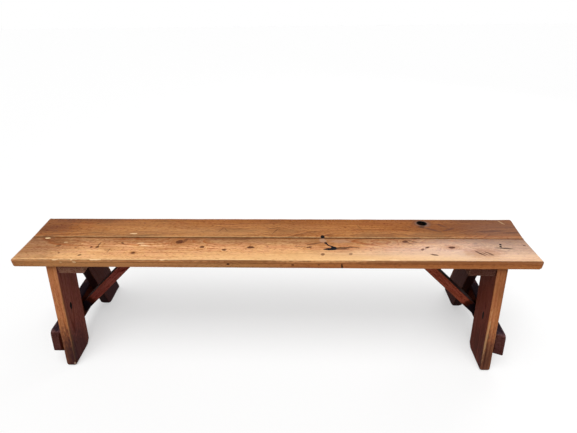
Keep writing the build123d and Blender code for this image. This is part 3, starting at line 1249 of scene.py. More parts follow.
@dataclass
class ScrewKind:
    """The sizes that all the screws share, and what is made from them.

    Attributes:
        diameter: Shank diameter.
        head_diameter: Diameter of the head.
        rim: Width and height by which the rim of the head's face is rounded.
        slot_width: Width of the slot.
        slot_depth: Depth of the slot.
        point: Length of the tapered point.
        clearance: Room between screw and wood.
        sink: How far the head's face lies under the wood's face.
        pocket: Length of the pocket that lets a driver reach a brace's head screws.
        turns: Degrees by which the first slot is turned, and each next one further.
    """

    diameter: float = 5.2
    head_diameter: float = 10.2
    rim: tuple[float, float] = (0.3, 0.2)
    slot_width: float = 1.6
    slot_depth: float = 1.3
    point: float = 8.0
    clearance: float = 0.15
    sink: float = 0.4
    pocket: float = 60.0
    turns: tuple[float, float] = (37.0, 71.0)

    @property
    def neck(self) -> float:
        """Height of the head's cone, whose sides meet at a right angle."""
        return (self.head_diameter - self.diameter) / 2

    def read(self, node: str, way: Vector) -> list[Screw]:
        """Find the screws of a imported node.

        Args:
            node: The node's name.
            way: The direction in which its screws point.

        Returns:
            The screws.
        """
        # Points of one screw lie no further from each other, across it, than the head is wide
        limit = self.head_diameter * 1.05 * MM
        groups: list[list[Vector]] = []
        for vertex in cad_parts[node].data.vertices:
            point = vertex.co.copy()
            for group in groups:
                if (self.flat(group[0], way) - self.flat(point, way)).length < limit:
                    group.append(point)
                    break
            else:
                groups.append([point])
        screws = []
        for group in groups:
            reach = [point.dot(way) for point in group]
            start = min(reach)
            face = [self.flat(p, way) for p in group if p.dot(way) < start + FLATNESS * MM]
            middle = sum(face, Vector()) / len(face)
            screws.append(Screw(middle + way * start, way, (max(reach) - start) / MM))
        return screws

    @staticmethod
    def flat(point: Vector, way: Vector) -> Vector:
        """The point without its part along a direction."""
        return point - way * point.dot(way)

    def solid(self, length: float) -> Mesh:
        """A slotted screw that hangs down from the origin.

        Args:
            length: Its whole length.

        Returns:
            The mesh.
        """
        radius, head = self.diameter / 2, self.head_diameter / 2
        profile = [
            (0.0, 0.0),
            (head - self.rim[0], 0.0),
            (head, -self.rim[1]),
            (radius, -self.neck),
            (radius, self.point - length),
            (0.0, -length),
        ]
        blank = linked("screw blank", turned("screw blank", profile))
        half_width, reach = self.slot_width / 2, self.head_diameter
        corners = [
            (x * reach * MM, y * half_width * MM, z * self.slot_depth * MM)
            for x in (-1, 1)
            for y in (-1, 1)
            for z in (-1, 1)
        ]
        sides = [(0, 1, 3, 2), (4, 6, 7, 5), (0, 4, 5, 1), (2, 3, 7, 6), (0, 2, 6, 4), (1, 5, 7, 3)]
        slot_mesh = bpy.data.meshes.new("slot")
        slot_mesh.from_pydata(corners, [], sides)
        slot = linked("slot", slot_mesh)
        cut_away(blank, [slot])
        result = blank.data
        for made in (blank, slot):
            bpy.data.objects.remove(made)
        return result

    def bores(self, name: str, screws: Sequence[Screw], pocket: bool) -> Object:
        """The holes for some screws as one hidden solid, to cut from the boards that they join.

        Args:
            name: Name of the solid.
            screws: The screws.
            pocket: True if the holes open into pockets.

        Returns:
            The hidden object.
        """
        radius = self.diameter / 2 + self.clearance
        spread = self.head_diameter / 2 + self.clearance + self.sink
        over = self.pocket if pocket else self.sink + OVERCUT
        meshes = []
        for screw in screws:
            profile = [
                (0.0, over),
                (spread, over),
                (spread, 0.0),
                (radius, -self.neck - self.sink / 2),
                (radius, -screw.length - self.clearance),
                (0.0, -screw.length - self.clearance),
            ]
            meshes.append((turned("bore", profile), screw.placed()))
        made = linked(name, joined(name, meshes))
        made.hide_render = True
        return made

    def group(self, node: str, screws: Sequence[Screw], material: Material) -> Object:
        """All the screws of a node as one piece.

        Args:
            node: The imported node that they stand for.
            screws: The screws.
            material: Their material.

        Returns:
            The piece.
        """
        blank = self.solid(screws[0].length)
        first, more = self.turns
        mesh = joined(node, [(blank, screw.placed(first + more * i)) for i, screw in enumerate(screws)])
        mesh.set_sharp_from_angle(angle=math.radians(SHARP_SCREW))
        mesh.materials.append(material)
        piece = linked(f"slotted_{node}", mesh)
        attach(piece, BODY)
        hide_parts(node)
        LOG.info("%s: %d screws", piece.name, len(screws))
        return piece


def framed(origin: Vector, along: Vector, across: Vector) -> Matrix:
    """Matrix from a board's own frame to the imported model's frame.

    Args:
        origin: The board's origin, in metres.
        along: Its X direction.
        across: Its Y direction.

    Returns:
        The matrix, whose Z column is at right angles to the other two.
    """
    through = along.cross(across)
    matrix = Matrix((along, across, through)).transposed().to_4x4()
    return Matrix.Translation(origin) @ matrix


@dataclass
class Stance:
    """The sizes that the seat and the trestles share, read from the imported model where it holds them.

    Attributes:
        splay: Lean of the legs in degrees.
        setback: From the seat's edge to the leg's outer edge at the seat's underside.
        top_gap: Between the tops of a front and a rear leg.
        brace_depth: Size of a brace across its slope.
        rail_proud: How far the foot rail passes the legs.
        right_rail_skew: How far the right foot rail's front end is cut back at its inner face.
        half_width: Half the seat's width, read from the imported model.
        underside: Height of the seat's underside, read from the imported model.
    """

    splay: float = 13.6
    setback: float = 12.5
    top_gap: float = 10.4
    brace_depth: float = 35.0
    rail_proud: float = 2.0
    right_rail_skew: float = 16.0
    half_width: float = field(init=False)
    underside: float = field(init=False)

    def __post_init__(self) -> None:
        """Read the seat's half width and underside."""
        low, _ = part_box("front_seat_plank")
        self.half_width = -low.y / MM
        self.underside = low.z / MM

    @property
    def lean(self) -> float:
        """The legs' lean in radians."""
        return math.radians(self.splay)

    @property
    def leg_width(self) -> float:
        """Width of a leg's board, at right angles to its grain."""
        return (self.half_width - self.setback - self.top_gap / 2) * math.cos(self.lean)

    def reach(self, level: float | Array) -> float | Array:
        """Distance from the bench's middle line to a leg's outer edge, at a height off the floor."""
        return self.half_width - self.setback + (self.underside - level) * math.tan(self.lean)


# The marks on the seat's planks, in the bench's own X and Y. On a near edge the place across is a height
FRONT_MARKS: dict[Face, MarkTable] = {
    Face.TOP: {
        # The four strips at about -130 across are painted shadow on the rounded nose
        MarkKind.SHADE: [
            (-100, -4, 2100, 62, 1.2), (-850, -50, 300, 110, 0.8), (-470, -130, 1000, 8, 1.5),
            (-110, -131, 340, 8, 1.5), (600, -130.7, 860, 12, 1.75), (770, -131, 420, 13, 1.3),
        ],
        # Painted highlights along the front of the top, by the nose
        MarkKind.GLOW: [
            (-700, -114, 460, 40, 0.45), (260, -104, 1300, 56, 0.9), (190, -112, 900, 30, 0.8),
        ],
        # Painted sheen towards the right end
        MarkKind.FADED: [(770, -76, 640, 150, 0.68), (520, -94, 560, 76, 0.35)],
        MarkKind.RUB: [(-470, -126, 1000, 6, 0.8), (400, -122, 1000, 7, 0.6)],
        MarkKind.CHIP: [
            (-616, -129, 40, 6), (-383, -128, 18, 6, 0.9), (-757, -129, 22, 6, 0.8),
            (-700, -130, 9, 5, 0.8), (-560, -128, 11, 5, 0.7), (330, -123, 60, 6, 0.8),
            (416, -123, 30, 7, 0.9), (-849, -2, 19, 8), (-767, -28, 14, 6, 0.5, 4),
            (-470, -46, 34, 6, 1, -8), (-488, -32, 26, 6, 0.8, 8),
        ],
        MarkKind.DIRT: [
            (-300, -5, 60, 11, 0.7), (-215, -5, 70, 9, 0.7), (-125, -4, 110, 8, 0.8),
            (-905, -55, 220, 190, 0.6), (870, -20, 330, 110, 0.7),
        ],
        MarkKind.DENT: [
            (-785, -48, 20, 14, 0.6, 40), (-683, -103, 12, 8, 0.85), (-661, -57, 9, 8),
            (-640, -56, 13, 11, 0.9, 40), (-639, -40, 34, 6, 0.75, 86), (-556, -32, 14, 8, 0.9, -30),
            (-547, -38, 22, 4, 0.5, -12), (-497, -89, 14, 10), (-764, -90, 8, 6, 0.75),
            (-718, -58, 9, 6, 0.6), (-590, -78, 28, 5, 0.4, 86), (-600, -72, 24, 4, 0.35, 8),
            (-24, -50, 8, 5, 0.6), (240, -61, 54, 10, 0.7), (543, -51, 18, 8, 1, 30),
            (558, -92, 26, 8, 1, -15), (712, -79, 26, 6, 0.8, -52), (722, -87, 30, 6, 0.85, -47),
            (734, -86, 28, 5, 0.8, -42), (746, -81, 30, 6, 0.9, -34), (718, -70, 28, 4, 0.4, 8),
            (752, -92, 24, 5, 0.6, -30), (889, -36, 9, 6, 0.8),
        ],
        MarkKind.HALO: [
            (-497, -89, 24, 20, 1.3), (-335, -26, 110, 56, 1, 8), (-87, -54, 70, 30, 0.6),
            (215, -40, 190, 70, 0.7), (478, -15, 70, 34, 0.55), (633, -50, 46, 20, 0.6),
            (633, -49, 84, 30, 0.6), (730, -80, 120, 60),
        ],
        MarkKind.KNOT: [
            (-350, -22, 26, 20, 0.9, 14), (-332, -18, 34, 14, 0.6, 60), (-259, -53, 17, 11),
            (-177, -69, 17, 10), (-84, -54, 26, 14), (125, -51, 22, 9, 1, 10),
            (172, -93, 15, 13, 0.75, 30), (269, -90, 13, 12, 0.6, 20), (473, -14, 23, 14, 0.85, 24),
            (524, -62, 16, 9, 0.8, 40), (630, -50, 24, 12),
        ],
        MarkKind.BLOOM: [(176, -11, 24, 22, 0.6), (240, -16, 70, 20, 0.35)],
        MarkKind.INK: [
            (186, -26, 12, 11, 1, -60), (192, -36, 24, 6, 1, -56), (206, -46, 26, 6.5, 1, -24),
            (198, -63, 46, 13, 1, 1), (213, -56, 20, 17, 1, -6),
        ],
        MarkKind.CRACK: [
            (146, -30, 60, 4.5, 0.7, 16), (98, -49, 60, 3.4, 0.6), (246, -54, 64, 8, 0.85, 3),
            (288, -51, 40, 5.5, 0.65, -12), (500, -14, 44, 6, 0.55, -20), (484, -23, 34, 5, 0.45, -34),
            (812, -53, 62, 5, 0.95, -5),
        ],
        MarkKind.HOLE: [(807, -31, 9, 9), (803, -43, 9, 9)],
    },
    Face.NEAR: {
        MarkKind.RESIN: [(745, 7, 440, 12, 0.4), (-600, -1, 760, 34, 0.45), (540, -2, 1120, 32)],
        MarkKind.GRIME: [(0, 7, 2000, 4, 0.4)],
        MarkKind.DENT: [(-155, 2, 10, 8), (68, 0, 10, 7, 0.8), (157, 1, 9, 6, 0.6)],
        MarkKind.CRACK: [(236, -4, 7, 22, 0.9, 8)],
        MarkKind.CHIP: [(-690, 8, 12, 6, 0.8), (-738, 6, 9, 5, 0.5)],
        # Painted light on the front face, brighter on its left half
        MarkKind.GLOW: [(-560, 0, 760, 30, 0.5), (-110, -2, 380, 28, 0.25)],
    },
}
REAR_MARKS: dict[Face, MarkTable] = {
    Face.TOP: {
        MarkKind.SHADE: [(150, 130, 1500, 36, 0.5), (860, 80, 620, 170, 1.1)],
        MarkKind.DIRT: [
            (0, 138, 1900, 7, 1.2), (562, 103, 62, 54, 1.1), (-900, 96, 220, 150, 0.75),
            (-730, 126, 260, 40, 0.7), (820, 78, 420, 150, 0.33), (800, 52, 110, 12, 0.9, 4),
            (884, 44, 70, 10, 0.8, 3), (590, 62, 60, 10, 1, -24), (650, 62, 56, 9, 0.8, 24),
            (634, 90, 44, 9, 0.7, -40),
        ],
        MarkKind.GLOW: [
            (-400, 34, 800, 60, 0.3), (-560, 90, 360, 60, 0.2), (-80, 62, 760, 80, 0.2),
            (-300, 11, 1300, 9, 0.5), (450, 26, 460, 44, 0.22),
        ],
        MarkKind.RUB: [(500, 10, 1000, 5, 0.3)],
        MarkKind.CHIP: [(-536, 28, 26, 8, 0.8, -3), (868, 112, 28, 8, 0.28, -60)],
        MarkKind.HOLE: [(176, 13, 15, 20), (562, 105, 39, 33, 1, -12)],
        MarkKind.HALO: [(568, 98, 76, 56, 0.5)],
        MarkKind.BLOOM: [(564, 102, 50, 43, 0.27, -14)],
        MarkKind.SWIRL: [(632, 70, 130, 60), (-180, 60, 90, 34), (10, 52, 80, 44)],
        MarkKind.CRACK: [
            (-208, 58, 34, 4, 0.45, 60), (-190, 58, 32, 3.5, 0.38, -58), (-262, 48, 56, 3, 0.4, 3),
            (-144, 62, 44, 3, 0.4, 5), (0, 50, 40, 4.5, 0.42, 58), (-6, 68, 46, 4, 0.4, 10),
            (318, 78, 36, 4, 0.35, -66), (330, 62, 90, 3, 0.35, -6), (556, 80, 26, 10, 0.75, 10),
        ],
        MarkKind.GRIME: [(-280, 5.8, 1400, 3.8, 0.5)],
        # A faint painted sheen at the right end
        MarkKind.FADED: [(880, 50, 300, 120, 0.07)],
        MarkKind.RESIN: [(810, 14, 300, 20, 0.35)],
    },
    Face.NEAR: {
        MarkKind.GRIME: [(0, 0, 2100, 29.2)],
    },
}


def tabled(tables: dict[Face, MarkTable]) -> list[Mark]:
    """The marks in the tables of a board's faces."""
    kinds = [(face, kind, rows) for face, table in tables.items() for kind, rows in table.items()]
    return [Mark(kind, *row, face=face) for face, kind, rows in kinds for row in rows]


@dataclass
class Seat:
    """The two planks of the seat.

    Attributes:
        left_slant: How far the sawn left end comes in from a plank's outer edge to the seam.
        right_slant: The same for the right end.
        left_corner: Radius of the outer corners at the left end, in plan.
        right_corner: The same at the right end of the front plank.
        outer_arrises: Radii of the upper and the lower arris along a plank's outer edge.
        seam_arris: Radius of those along the seam.
        chips: Places along the nose where its arris is broken, with their lengths and depths.
        front_finish: The front plank's finish.
        rear_finish: The rear plank's finish, which is darker.
    """

    left_slant: float = 3.0
    right_slant: float = 9.0
    left_corner: float = 7.0
    right_corner: float = 12.0
    outer_arrises: tuple[float, float] = (4.6, 2.4)
    seam_arris: float = 0.9
    # The last of these is the long stretch where sitters have rounded the arris most
    chips: Sequence[tuple[float, float, float]] = (
        (-640.0, 26.0, 2.6),
        (-300.0, 20.0, 1.6),
        (20.0, 16.0, 1.8),
        (520.0, 22.0, 1.5),
        (560.0, 1500.0, 5.0),
    )
    front_finish: AgedPine = AgedPine(
        top="#ffcd97",
        edges="#dc9c62",
        under="#b07a4a",
        late="#d0996a",
        patina="#9c6434",
        patina_share=0.3,
        worn="#ffdcaa",
        flecks=0.75,
        ring_spacing=2.6,
        pith=(46.0, -120.0),
        drift=(0.006, 0.01),
        wander=12.0,
        seed=2.0,
        gloss=0.05,
        sheen_coat=0.02,
    )
    rear_finish: AgedPine = AgedPine(
        top="#be8048",
        edges="#8a5a36",
        under="#946640",
        late="#9c6a40",
        patina="#5f3a20",
        patina_share=0.4,
        worn="#cf9559",
        pith=(-52.0, -96.0),
        drift=(-0.01, 0.012),
        wander=11.0,
        seed=17.0,
        gloss=0.05,
        sheen_coat=0.02,
    )

    def plank(self, end: End) -> Board:
        """One plank.

        Args:
            end: Which plank.

        Returns:
            The board.
        """
        low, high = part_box(f"{end.word}_seat_plank")
        middle = (low + high) / 2
        width, thickness = (high.y - low.y) / MM, (high.z - low.z) / MM
        # The front plank's longest edge is that of both
        half_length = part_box("front_seat_plank")[1].x / MM
        seam = -end.value

        def slanted(across: Array, slant: float) -> Array:
            """How far the sawn end has come in at a place across, from 0 at the outer edge."""
            return slant * (0.5 + seam * across / width)

        marks = tabled(FRONT_MARKS if end is End.FRONT else REAR_MARKS)
        (top, under), inner = self.outer_arrises, self.seam_arris
        left, right = self.left_corner, self.right_corner
        if end is End.FRONT:
            corners = (left, 1.0, right, 1.0)
            top_sides, under_sides = (top, inner), (under, inner)
        else:
            corners = (1.0, left, 1.0, left)
            top_sides, under_sides = (inner, top), (inner, under)
        return Board(
            name=f"{end.word}_seat_plank",
            width=width,
            thickness=thickness,
            low_end=lambda v: -half_length + slanted(v, self.left_slant),
            high_end=lambda v: half_length - slanted(v, self.right_slant),
            to_row=framed(Vector((0.0, middle.y, middle.z)), Vector((1, 0, 0)), Vector((0, 1, 0))),
            top_arris=Arrises(3.2, 4.5, *top_sides),
            under_arris=Arrises(4.5, 5.5, *under_sides),
            corners=corners,
            step=6.0,
            chips=self.chips if end is End.FRONT else (),
            marks=[m.moved(-middle.y / MM) if m.face is Face.TOP else m for m in marks],
            stretches=5 if end is End.FRONT else 3,
            seed=3.7 * (2 + end.value),
            slot=f"{end.word}_plank_pine",
        )

    def build(self, bores: dict[str, Object], knot_hole: "KnotHole") -> None:
        """Make both planks.

        Args:
            bores: The hidden bore solids by the names of their screw nodes.
            knot_hole: The hole in the rear plank.
        """
        kinds = ("seat_screws", "brace_head_screws")
        cutters = [bores[f"{side.word}_{kind}"] for side in Side for kind in kinds]
        self.plank(End.FRONT).build(self.front_finish, cutters)
        hole = knot_hole.solid()
        self.plank(End.REAR).build(self.rear_finish, cutters + [hole])
        bpy.data.objects.remove(hole)


@dataclass
class KnotHole:
    """The hole that a lost knot left in the rear plank, in the bench's own X and Y.

    Attributes:
        along: Place along the bench.
        across: Place across it.
        length: The oval's size along the bench before its turn.
        breadth: Its size across the bench before its turn.
        depth: Its depth.
        turn: Degrees by which the oval is turned.
        wall: Shares of the oval's size and heights, from over the seat down to the bottom's edge.
        roughness: Share of its size by which the wall is uneven.
    """

    along: float = 562.0
    across: float = 106.0
    length: float = 35.0
    breadth: float = 28.0
    depth: float = 17.0
    turn: float = -14.0
    wall: Sequence[tuple[float, float]] = ((1.0, 2.0), (1.0, 0.0), (0.93, -1.2), (0.86, -6.0), (0.78, -12.0))
    roughness: float = 0.07

    def solid(self) -> Object:
        """A hidden solid with the hole's rough shape.

        Returns:
            The hidden object.
        """
        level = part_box("rear_seat_plank")[1].z / MM
        # It is turned as a round hole of this radius and then stretched to its oval
        radius = 10.0
        rim = [(share * radius, height) for share, height in (*self.wall, (0.7, -self.depth))]
        mesh = turned("knot hole", [(0.0, rim[0][1]), *rim, (0.0, -self.depth)], segments=44)
        stretch = self.length / (2 * radius), self.breadth / (2 * radius)
        for vertex in mesh.vertices:
            x, y, z = vertex.co / MM
            rough = 1.0 + self.roughness * noise.noise(Vector((x / 4, y / 4, z / 5)))
            vertex.co = Vector((x * rough * stretch[0], y * rough * stretch[1], z)) * MM
        made = linked("knot_hole_solid", mesh)
        place = Matrix.Translation(Vector((self.along, self.across, level)) * MM)
        made.matrix_world = place @ Matrix.Rotation(math.radians(self.turn), 4, "Z")
        made.hide_render = True
        return made


# The marks on the legs. Those of the front legs' inner faces and outer edges follow the photo
# The smudges on each leg's outer edge at the foot are painted shade, darker towards the floor; the inner
# faces also grow darker towards the foot
LEG_MARKS: dict[tuple[Side, End], dict[Face, MarkTable]] = {
    (Side.LEFT, End.FRONT): {
        Face.TOP: {
            MarkKind.DIRT: [(10, 20, 260, 170, 1.5)],
            MarkKind.HOLE: [(242, 17, 30, 13)],
            MarkKind.CRACK: [(222, 18, 26, 4, 0.7, -8)],
            MarkKind.DENT: [(89, 27, 12, 5, 0.7)],
            MarkKind.GRIME: [(16, 50, 26, 14)],
        },
        Face.FAR: {
            MarkKind.DIRT: [(10, 0, 300, 60, 1.6)],
            MarkKind.GLOW: [(190, 17, 290, 5, 0.2)],
            MarkKind.BLOOM: [(12, 14, 14, 8)],
        },
    },
    (Side.LEFT, End.REAR): {
        Face.UNDER: {MarkKind.DIRT: [(10, 20, 260, 170, 1.5)]},
        Face.FAR: {
            MarkKind.RESIN: [(215, 3, 1100, 60, 0.8), (215, 9, 1100, 34, 0.9)],
            MarkKind.DIRT: [(10, 0, 300, 60, 1.6)],
        },
    },
    (Side.RIGHT, End.FRONT): {
        Face.UNDER: {
            MarkKind.DIRT: [(10, 20, 260, 170, 0.5)],
            MarkKind.HOLE: [(214, 12, 30, 12)],
            MarkKind.DENT: [(134, 32, 10, 5, 0.8), (75, 50, 12, 6, 0.9)],
        },
        Face.FAR: {
            MarkKind.DIRT: [(10, 0, 300, 60, 1.3)],
            MarkKind.SHADE: [(390, 0, 240, 60, 0.5)],
            MarkKind.RUB: [(150, -14, 190, 7, 0.42, 2)],
            MarkKind.CRACK: [(60, -8, 90, 4, 0.6), (150, -9, 120, 2.5, 0.4, 2)],
        },
    },
    (Side.RIGHT, End.REAR): {
        Face.TOP: {MarkKind.DIRT: [(10, 20, 260, 170, 0.5)]},
        Face.FAR: {
            MarkKind.RESIN: [(215, -3, 1100, 60, 0.8), (215, -9, 1100, 34, 0.9)],
            MarkKind.DIRT: [(10, 0, 300, 60, 1.3)],
        },
    },
}


@dataclass(frozen=True)
class Tones:
    """The sRGB hex tones of one thing at the left and the right end of the bench, which differ by painted
    light and shade.
    """

    left: str
    right: str

    def at(self, side: Side) -> str:
        """The tone at one end."""
        return self.left if side is Side.LEFT else self.right


@dataclass
class Trestle:
    """One end's support: two legs, a cleat, a foot rail and a brace.

    Attributes:
        side: Which end of the bench.
        stance: The sizes shared with the seat.
        leg_finish: Finish of the legs.
        inner_tones: Tone of the legs' inner faces at each end of the bench, which the photo shows,
            with painted shade from the seat above, lighter at the left end where more light falls.
        rear_inner: Tone of the rear legs' inner faces where they differ, darker still with painted shade.
        rear_edges: Tone of the rear legs' edges, nearly black with painted shade.
        rear_worn: Tone of their rubbed arrises, darkened by the same painted shade.
        rail_finish: Finish of the foot rails, whose purple-brown tones are the old wood's colour with
            painted shade from the seat.
        brace_finish: Finish of the braces, whose nearly black edge tone is painted shade.
        cleat_finish: Finish of the cleats.
        cleat_edges: Tone of the cleats' edges at each end of the bench, with painted light at the
        left end and painted shade at the right.
    """

    side: Side
    stance: Stance
    leg_finish: AgedPine = AgedPine(
        top="#7c4230",
        edges="#e4a070",
        under="#a0673a",
        patina="#4a2618",
        worn="#cc9468",
        worn_share=0.4,
        flecks=0.4,
        pith=(24.0, -60.0),
        drift=(0.008, 0.012),
        roughness=(0.5, 0.7),
    )
    # Painted shade: the legs' inner faces, and the rear legs' faces, edges and worn arrises, are darkened
    # for the seat's shadow
    inner_tones: Tones = Tones("#aa6c64", "#884c40")
    rear_inner: str = "#56302c"
    rear_edges: str = "#301a1c"
    rear_worn: str = "#7c4c34"
    rail_finish: AgedPine = AgedPine(
        # These purple-brown tones are the old wood's colour with painted shade from the seat
        top="#7c5450",
        edges="#907078",
        under="#7c5450",
        late="#b08a70",
        patina="#3c2019",
        patina_share=0.45,
        worn="#8c5c46",
        pith=(-10.0, -60.0),
        roughness=(0.65, 0.85),
    )
    brace_finish: AgedPine = AgedPine(
        top="#b6665f",
        # This nearly black edge tone is painted shade on the brace's narrow faces
        edges="#2c1616",
        under="#d07660",
        patina="#4a2018",
        patina_share=0.3,
        worn="#b0683c",
        worn_share=0.35,
        ring_spacing=2.8,
        pith=(4.0, -50.0),
        wander=8.0,
        roughness=(0.5, 0.7),
        gloss=0.04,
    )
    cleat_finish: AgedPine = AgedPine(
        top="#8a6648",
        edges="#9a7454",
        under="#8a6648",
        late="#b0906c",
        patina="#4c3424",
        worn="#dcb8a0",
        worn_share=0.5,
        end_grain=0.3,
        ring_spacing=3.8,
        pith=(30.0, -70.0),
        roughness=(0.65, 0.85),
    )
    # Painted light and shade: the left cleat's edges are lighter and the right one's darker
    cleat_edges: Tones = Tones("#c8a090", "#8c6660")

    @property
    def sign(self) -> int:
        """The sign of X at this end."""
        return self.side.value

    @property
    def inner_face(self) -> Face:
        """The face of the rail that the legs lie on, and the front face of the brace."""
        return Face.TOP if self.side is Side.LEFT else Face.UNDER

    def leg(self, end: End) -> Board:
        """A splayed leg.

        Args:
            end: Front or rear.

        Returns:
            The board, whose X runs up the leg and whose Y points outward.
        """
        stance = self.stance
        name = f"{self.side.word}_{end.word}_leg"
        low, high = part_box(name)
        width, sine, cosine = stance.leg_width, math.sin(stance.lean), math.cos(stance.lean)
        along = Vector((0, -end.value * sine, cosine))
        across = Vector((0, end.value * cosine, sine))
        foot = Vector(((low.x + high.x) / 2, end.value * stance.reach(0.0) * MM, 0.0))
        origin = foot - across * (width / 2 * MM)
        tangent = math.tan(stance.lean)
        arris = Arrises(low=9.0, high=0.8, near=2.4, far=3.0)
        return Board(
            name=name,
            width=width,
            thickness=(high.x - low.x) / MM,
            low_end=lambda v: (width / 2 - v) * tangent,
            high_end=lambda v: stance.underside / cosine + (width / 2 - v) * tangent,
            to_row=framed(origin, along, across),
            top_arris=arris,
            under_arris=arris,
            corners=(20.0, 8.6, 1.2, 1.2),
            trodden=8.5,
            marks=tabled(LEG_MARKS[self.side, end]),
            seed=11.0 + 5.0 * self.sign + end.value,
        )

    def rail(self) -> Board:
        """The foot rail, whose X runs from front to rear and whose Y points up.

        Returns:
            The board.
        """
        stance = self.stance
        name = f"{self.side.word}_foot_rail"
        low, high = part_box(name)
        middle = (low.z + high.z) / 2 / MM
        proud = stance.rail_proud
        origin = Vector(((low.x + high.x) / 2, 0, middle * MM))
        arris = Arrises(low=2.5, high=2.5, near=2.5, far=2.8)
        return Board(
            name=name,
            width=(high.z - low.z) / MM,
            thickness=(high.x - low.x) / MM,
            low_end=lambda v: -stance.reach(middle + v) - proud,
            high_end=lambda v: stance.reach(middle + v) + proud,
            to_row=framed(origin, Vector((0, 1, 0)), Vector((0, 0, 1))),
            top_arris=arris,
            under_arris=arris,
            corners=(12.0, 14.0, 12.0, 14.0),
            skew=stance.right_rail_skew if self.side is Side.RIGHT else 0.0,
            # All four are painted shade: the rail's inner face and its top lie in the seat's shadow
            marks=[
                Mark(MarkKind.GRIME, 0, 0, 350, 130, face=self.inner_face),
                Mark(MarkKind.GRIME, -212, 0, 70, 120, face=self.inner_face),
                Mark(MarkKind.DIRT, -226, 0, 70, 60, face=Face.FAR, weight=1.7),
                Mark(MarkKind.SOOT, -40, 0, 330, 60, face=Face.FAR),
            ],
            seed=31.0 + 4.0 * self.sign,
            slot="rail_pine",
        )

    def brace(self) -> Board:
        """The brace, whose X runs up its slope and whose Z runs along the bench's Y.

        Returns:
            The board.
        """
        name = f"{self.side.word}_brace"
        low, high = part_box(name)
        sign = self.sign
        foot_x = max(abs(low.x), abs(high.x)) / MM
        # Sine and cosine of the brace's 45 degrees
        slope = math.sqrt(0.5)
        depth = self.stance.brace_depth
        start = low.z / MM + depth / 2 / slope
        origin = Vector((sign * foot_x, (low.y + high.y) / 2 / MM, start)) * MM
        arris = Arrises(low=0.8, high=0.8, near=2.0, far=2.0)
        return Board(
            name=name,
            width=depth,
            thickness=(high.y - low.y) / MM,
            low_end=lambda v: v,
            high_end=lambda v: (self.stance.underside - start) / slope - v,
            to_row=framed(origin, Vector((-sign * slope, 0, slope)), Vector((sign * slope, 0, slope))),
            top_arris=arris,
            under_arris=arris,
            corners=(1.5, 1.5, 1.5, 1.5),
            step=6.0,
            marks=[
                # Both are painted shade on the brace's front face at its foot
                Mark(MarkKind.GRIME, 20, 0, 104, 90, face=self.inner_face),
                Mark(MarkKind.SOOT, 10, 0, 76, 90, face=self.inner_face),
            ],
            seed=47.0 + 3.0 * sign,
            slot="brace_pine",
        )

    def cleat(self) -> Board:
        """The cleat, whose X runs from front to rear and whose Y points to the bench's left.

        Returns:
            The board.
        """
        name = f"{self.side.word}_seat_cleat"
        low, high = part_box(name)
        half = (high.y - low.y) / 2 / MM
        middle = (low + high) / 2
        return Board(
            name=name,
            width=(high.x - low.x) / MM,
            thickness=(high.z - low.z) / MM,
            low_end=lambda v: np.full_like(v, -half),
            high_end=lambda v: np.full_like(v, half),
            to_row=framed(middle, Vector((0, 1, 0)), Vector((-1, 0, 0))),
            top_arris=Arrises(low=0.8, high=0.8, near=0.8, far=0.8),
            under_arris=Arrises(low=3.2, high=3.2, near=3.2, far=3.2),
            corners=(3.4, 3.4, 3.4, 3.4),
            marks=[Mark(MarkKind.KNOT, 40, 10, 20, 16, face=Face.UNDER)],
            seed=61.0 + 3.0 * self.sign,
            slot="cleat_deal",
        )

    def build(self, bores: dict[str, Object]) -> None:
        """Make the trestle's five boards.

        Args:
            bores: The hidden bore solids by the names of their screw nodes.
        """

        def cutters(*kinds: str) -> list[Object]:
            """The bores of some of this side's screws."""
            return [bores[f"{self.side.word}_{kind}"] for kind in kinds]

        for end in End:
            inner_up = self.sign * end.value > 0
            finish = replace(self.leg_finish, top=self.inner_tones.at(self.side))
            if not inner_up:
                finish = replace(finish, top=finish.under, under=finish.top)
            # The rear legs get darker tones throughout: painted shade under the seat
            if end is End.REAR:
                finish = replace(finish, **{"top" if inner_up else "under": self.rear_inner})
                finish = replace(finish, edges=self.rear_edges, worn=self.rear_worn, worn_share=0.3)
            finish = replace(finish, seed=71.0 + 9.0 * self.sign + 3.0 * end.value)
            self.leg(end).build(finish, cutters("leg_screws", "rail_screws"))
        finish = replace(self.rail_finish, seed=90.0 + 7.0 * self.sign)
        self.rail().build(finish, cutters("rail_screws", "brace_foot_screw"))
        finish = replace(self.brace_finish, seed=110.0 + 7.0 * self.sign)
        self.brace().build(finish, cutters("brace_foot_screw", "brace_head_screws"))
        # The cleat's edges take its end's tone, with painted light at the left and painted shade at the
        # right
        edges = self.cleat_edges.at(self.side)
        finish = replace(self.cleat_finish, edges=edges, seed=130.0 + 7.0 * self.sign)
        self.cleat().build(finish, cutters("leg_screws", "seat_screws"))


@dataclass
class Fastenings:
    """All the screws of the bench."""

    kind: ScrewKind = field(default_factory=ScrewKind)
    finish: DulledSteel = DulledSteel()

    def build(self) -> dict[str, Object]:
        """Make the screws and the solids of their bores.

        Returns:
            The hidden bore solids by the names of their screw nodes.
        """
        material = self.finish.material("turned steel, dulled by age")
        bores = {}
        for side in Side:
            inward, up = Vector((-side.value, 0, 0)), Vector((0, 0, 1))
            for kind, way in (
                ("leg_screws", inward),
                ("rail_screws", inward),
                ("seat_screws", up),
                ("brace_foot_screw", inward),
                ("brace_head_screws", up),
            ):
                node = f"{side.word}_{kind}"
                screws = self.kind.read(node, way)
                self.kind.group(node, screws, material)
                bores[node] = self.kind.bores(f"{node}_bores", screws, kind == "brace_head_screws")
        return bores


